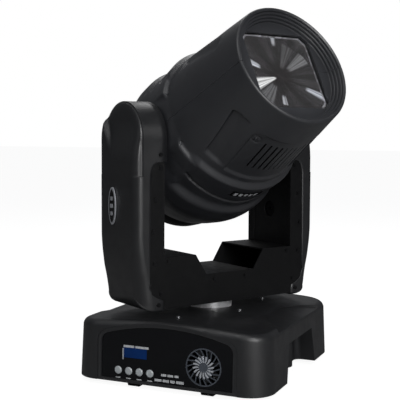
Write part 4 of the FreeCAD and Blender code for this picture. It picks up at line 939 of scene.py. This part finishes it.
def pan_ring():
    """The bright collar under the yoke, its lower edge cut into fine teeth."""
    low, tooth, high = RING_LEVELS
    count = RING_TEETH * 4
    turns = 2 * np.pi * np.arange(count) / count
    depth, bore = 1.1, 35.0
    out = np.where(np.arange(count) % 4 < 2, depth, 0)
    root = RING_RADIUS - depth
    section = [(bore, low, 0), (root, low, 1), (root, tooth, 1), (RING_RADIUS, tooth + 0.4, 0),
               (RING_RADIUS, high - 0.6, 0), (RING_RADIUS - 0.6, high, 0), (bore, high, 0)]
    points = []
    for radius, level, toothed in section:
        reach = radius + toothed * out
        points += list(zip(reach * np.cos(turns), reach * np.sin(turns), np.full(count, level)))
    faces = [quad for _, _, quad in grid_faces(len(section), count, wrap_rows=True, wrap_columns=True)]
    add_piece("pan_ring", points, faces, BASE, "yoke", [ring_metal])


def panel_marks():
    """The display's pale side strip, and plain bars where a panel carries its captions."""
    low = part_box("front_panel")[0]
    frame_on_panel = axes_frame((1, 0, 0), -PANEL_AXIS, (0, low.y, low.z))
    display_low, display_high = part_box("display")
    left, right = display_low.x / MM + 9.5, display_high.x / MM - 1.5
    floor, height = (display_low.z - low.z) / MM, 17.8
    strip = bar(left - 3.0, left - 0.4, floor, floor + height, 0.6)
    add_slab("display_strip", [strip], 0.4, frame_on_panel, "base", silver)
    titles = ((left - 1, left + 18), (left + 20, right))
    captions = [bar(start, end, floor + height + 1.8, floor + height + 5.4, 0.6) for start, end in titles]
    for i in range(1, 5):
        button_low, button_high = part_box(f"button_{i}")
        middle = (button_low.x + button_high.x) / 2 / MM
        level = (button_low.z - low.z) / MM
        captions.append(bar(middle - 4.2, middle + 4.2, level - 4.8, level - 3.2, 0.5))
    beside = button_high.x / MM
    for bottom, top, words in ((11.6, 15.2, ((12, 21), (23, 33), (35, 42))),
                               (2.6, 6.6, ((1, 13), (15, 26), (28, 36), (38, 51)))):
        captions += [bar(beside + start, beside + end, bottom, top, 0.6) for start, end in words]
    add_slab("panel_captions", captions, 0.12, frame_on_panel, "base", ink, 0.04)


def arch_path(spread):
    """The arched outline of the panel window, spread outwards, from one lower corner over to the other."""
    half, radius, top = 113 + spread, 364 + spread, 87 + spread
    corner = 15 + spread
    centre = top - radius
    reach = half - corner
    level = centre + math.sqrt((radius - corner) ** 2 - reach**2)
    start = math.atan2(level - centre, reach)
    side = [(half, y) for y in np.linspace(0, level, 8)[:-1]]
    side += [(reach + corner * math.cos(turn), level + corner * math.sin(turn))
             for turn in np.linspace(0, start, 9)]
    arch = [(radius * math.cos(turn), centre + radius * math.sin(turn))
            for turn in np.linspace(start, math.pi - start, 41)[1:-1]]
    return side + arch + [(-x, y) for x, y in reversed(side)]


def panel_bezels():
    """The rolled lip round both end windows of the base cover."""
    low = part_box("front_panel")[0]
    section = [(-0.6, -3.5), (-0.3, -0.6), (0.7, 0.9), (2.4, 2.1), (4.4, 2.5), (6.2, 2.2), (6.9, 1.4),
               (7.0, 0.0), (6.8, -3.0)]
    for name, turn in (("front_bezel", 0), ("rear_bezel", math.pi)):
        window = Matrix.Rotation(turn, 4, "Z") @ axes_frame((1, 0, 0), -PANEL_AXIS, (0, low.y, low.z))
        points = [(x, y, height) for spread, height in section for x, y in arch_path(spread)]
        count = len(arch_path(0))
        faces = [quad for _, _, quad in grid_faces(len(section), count, wrap_rows=True)]
        faces += [[row * count + end for row in range(len(section))] for end in (0, count - 1)]
        add_piece(name, points, faces, window, "base", [base_plastic])


def fan_petals():
    """The ring of bright raked petals in the middle of the fan guard."""
    low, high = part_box("fan_grille")
    centre = (low + high) / 2
    spot = axes_frame((1, 0, 0), -PANEL_AXIS, centre - PANEL_AXIS * 1.3 * MM)
    petals = []
    for i in range(16):
        turn = 2 * math.pi * i / 16
        shape = [(7.6, -0.7), (12.5, -1.0), (17.2, 0.6), (17.6, 2.6), (16.2, 3.2), (11.5, 1.5), (7.4, 0.7)]
        petals.append([(x * math.cos(turn) - y * math.sin(turn), x * math.sin(turn) + y * math.cos(turn))
                       for x, y in shape])
    add_slab("fan_petals", petals, 0.7, spot, "base", petal_metal, 0.12)


def badge_faces():
    """The dark field of each oval badge, with three plain bars on it."""
    for name, side in (("right", 1), ("left", -1)):
        spot = YOKE @ Matrix.Translation(Vector((side * (ARM_SIDE + 2.7), 10, 278)) * MM)
        lie = axes_frame((0, 0, 1), (side, 0, 0), (0, 0, 0))
        field = [oval(26.5, 8.2)]
        add_slab(f"{name}_badge_field", field, 0.5, spot @ lie, "yoke", label_dark)
        raised = spot @ Matrix.Translation(Vector((side * 0.5, 0, 0)) * MM) @ lie
        bars = [bar(x - 3.2, x + 3.2, -half, half, 1.2) for x, half in ((-12, 3.4), (0, 4.6), (12, 3.4))]
        add_slab(f"{name}_badge_bars", bars, 0.4, raised, "yoke", silver, 0.15)


def label_bars():
    """Pale bars on the blank labels of both head shells."""
    level = 48.0
    radius = float(bellied_radius(level)) - 0.45
    for name, side in (("upper", 1), ("lower", -1)):
        for number, x in enumerate((-24, -14, -4, 6, 16)):
            height = math.sqrt(radius**2 - x**2)
            out = Vector((x, side * height, 0)).normalized()
            spot = axes_frame((0, 0, 1), out, Vector((x, side * (height + 0.15), level)) * MM)
            add_slab(f"{name}_label_bar_{number + 1}", [bar(-4, 4, -3, 3, 0.8)], 0.2, HEAD @ spot, "head",
                     ink, 0.06)


# ------------------------ stage, light and camera

VIEW_AZIMUTH = math.radians(23.334)


def stage():
    """A pale floor under the feet and a white surround that lights the object less than it shows."""
    floor_glow, (dimmest, brightest) = 0.93, (0.07, 0.14)
    bpy.ops.mesh.primitive_plane_add(size=40, location=(0, 0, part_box("feet")[0].z))
    floor = bpy.context.object
    floor.name = "floor"
    finish = Finish("floor_white", (0.3, 0.3, 0.3), 0.9)
    finish.tint(finish.ramp(finish.noise(3, 3), 0.3, 0.7, 0, 0.3), (0.28, 0.28, 0.285))
    finish.glow(finish.constant((1, 1, 1)), 0)
    seen = finish.node("LightPath", "Is Camera Ray")
    finish.tree.links.new(finish.ramp(seen, 0, 1, 0, floor_glow), finish.surface.inputs["Emission Strength"])
    floor.data.materials.append(finish.done())
    world = bpy.data.worlds.new("studio")
    bpy.context.scene.world = world
    world.use_nodes = True
    tree = world.node_tree
    white = add_node(tree, "ShaderNodeBackground", "Background", {"Color": (1, 1, 1, 1)})
    away = (-math.sin(VIEW_AZIMUTH), math.cos(VIEW_AZIMUTH), 0.15)
    spot = {0: add_node(tree, "ShaderNodeTexCoord", "Generated")}
    behind = add_node(tree, "ShaderNodeVectorMath", "Value", {1: away}, spot, operation="DOT_PRODUCT")
    limits = {"From Min": 0.2, "From Max": 0.9, "To Min": dimmest, "To Max": brightest}
    strength = {"Strength": add_node(tree, "ShaderNodeMapRange", "Result", limits, {"Value": behind})}
    dim = add_node(tree, "ShaderNodeBackground", "Background", {"Color": (0.93, 0.95, 1, 1)}, strength)
    either = {0: add_node(tree, "ShaderNodeLightPath", "Is Camera Ray"), 1: dim, 2: white}
    surround = add_node(tree, "ShaderNodeMixShader", "Shader", {}, either)
    tree.links.new(surround, tree.nodes["World Output"].inputs["Surface"])


def direction(azimuth, elevation):
    """The unit vector that points from the object to a place seen at these angles."""
    level = math.cos(elevation)
    return Vector((math.sin(azimuth) * level, -math.cos(azimuth) * level, math.sin(elevation)))


def softbox(name, azimuth, elevation, distance, width, height, power, colour=(1, 1, 1)):
    """An area light aimed at the object's middle. Azimuth 0 is in front of the panel, 90 to its right."""
    data = bpy.data.lights.new(name, "AREA")
    data.shape = "RECTANGLE"
    data.size, data.size_y = width, height
    data.energy = power
    data.color = colour
    turn, rise = math.radians(azimuth), math.radians(elevation)
    towards = direction(turn, rise)
    lamp = bpy.data.objects.new(name, data)
    lamp.location = Vector((0, 0, 0.3)) + towards * distance
    lamp.rotation_euler = towards.to_track_quat("Z", "Y").to_euler()
    bpy.context.scene.collection.objects.link(lamp)


def camera():
    """A long lens low in front of the right-hand side of the panel."""
    azimuth, pitch, roll = VIEW_AZIMUTH, math.radians(4.41), math.radians(0.282)
    distance, across, height = 1511.8, -12.77, 278.4
    back = direction(azimuth, pitch)
    right = Vector((math.cos(azimuth), math.sin(azimuth), 0))
    up = back.cross(right)
    spot = (right * across + UP * height + back * distance) * MM + UP * BASE_LEVEL
    side = right * math.cos(roll) + up * math.sin(roll)
    top = -right * math.sin(roll) + up * math.cos(roll)
    data = bpy.data.cameras.new("camera")
    data.lens, data.sensor_width = 79.36, 36
    data.shift_x, data.shift_y = -0.0065, 0.003
    view = bpy.data.objects.new("camera", data)
    view.matrix_world = Matrix.Translation(spot) @ Matrix((side, top, back)).transposed().to_4x4()
    bpy.context.scene.collection.objects.link(view)
    bpy.context.scene.camera = view


finish_nodes()
half_shell("upper_shell_skin", "upper_shell", 1)
half_shell("lower_shell_skin", "lower_shell", -1)
facet_lens()
arm_cover("right_arm_skin", "right_arm_cover", 1)
arm_cover("left_arm_skin", "left_arm_cover", -1)

pan_ring()
panel_marks()
panel_bezels()
fan_petals()
badge_faces()
label_bars()

stage()
softbox("key", 47, 19, 2.2, 0.9, 1.3, 25)
softbox("fill", -32, 32, 2.4, 1.2, 1.8, 2, (0.93, 0.96, 1))
softbox("top", -20, 60, 2.2, 1.4, 1.4, 7)
softbox("rear", 205, 48, 2.4, 1.2, 1.2, 9)
camera()
bpy.context.scene.view_settings.view_transform = "Standard"


def corners(bounds):
    return [list(corner) for corner in bounds]
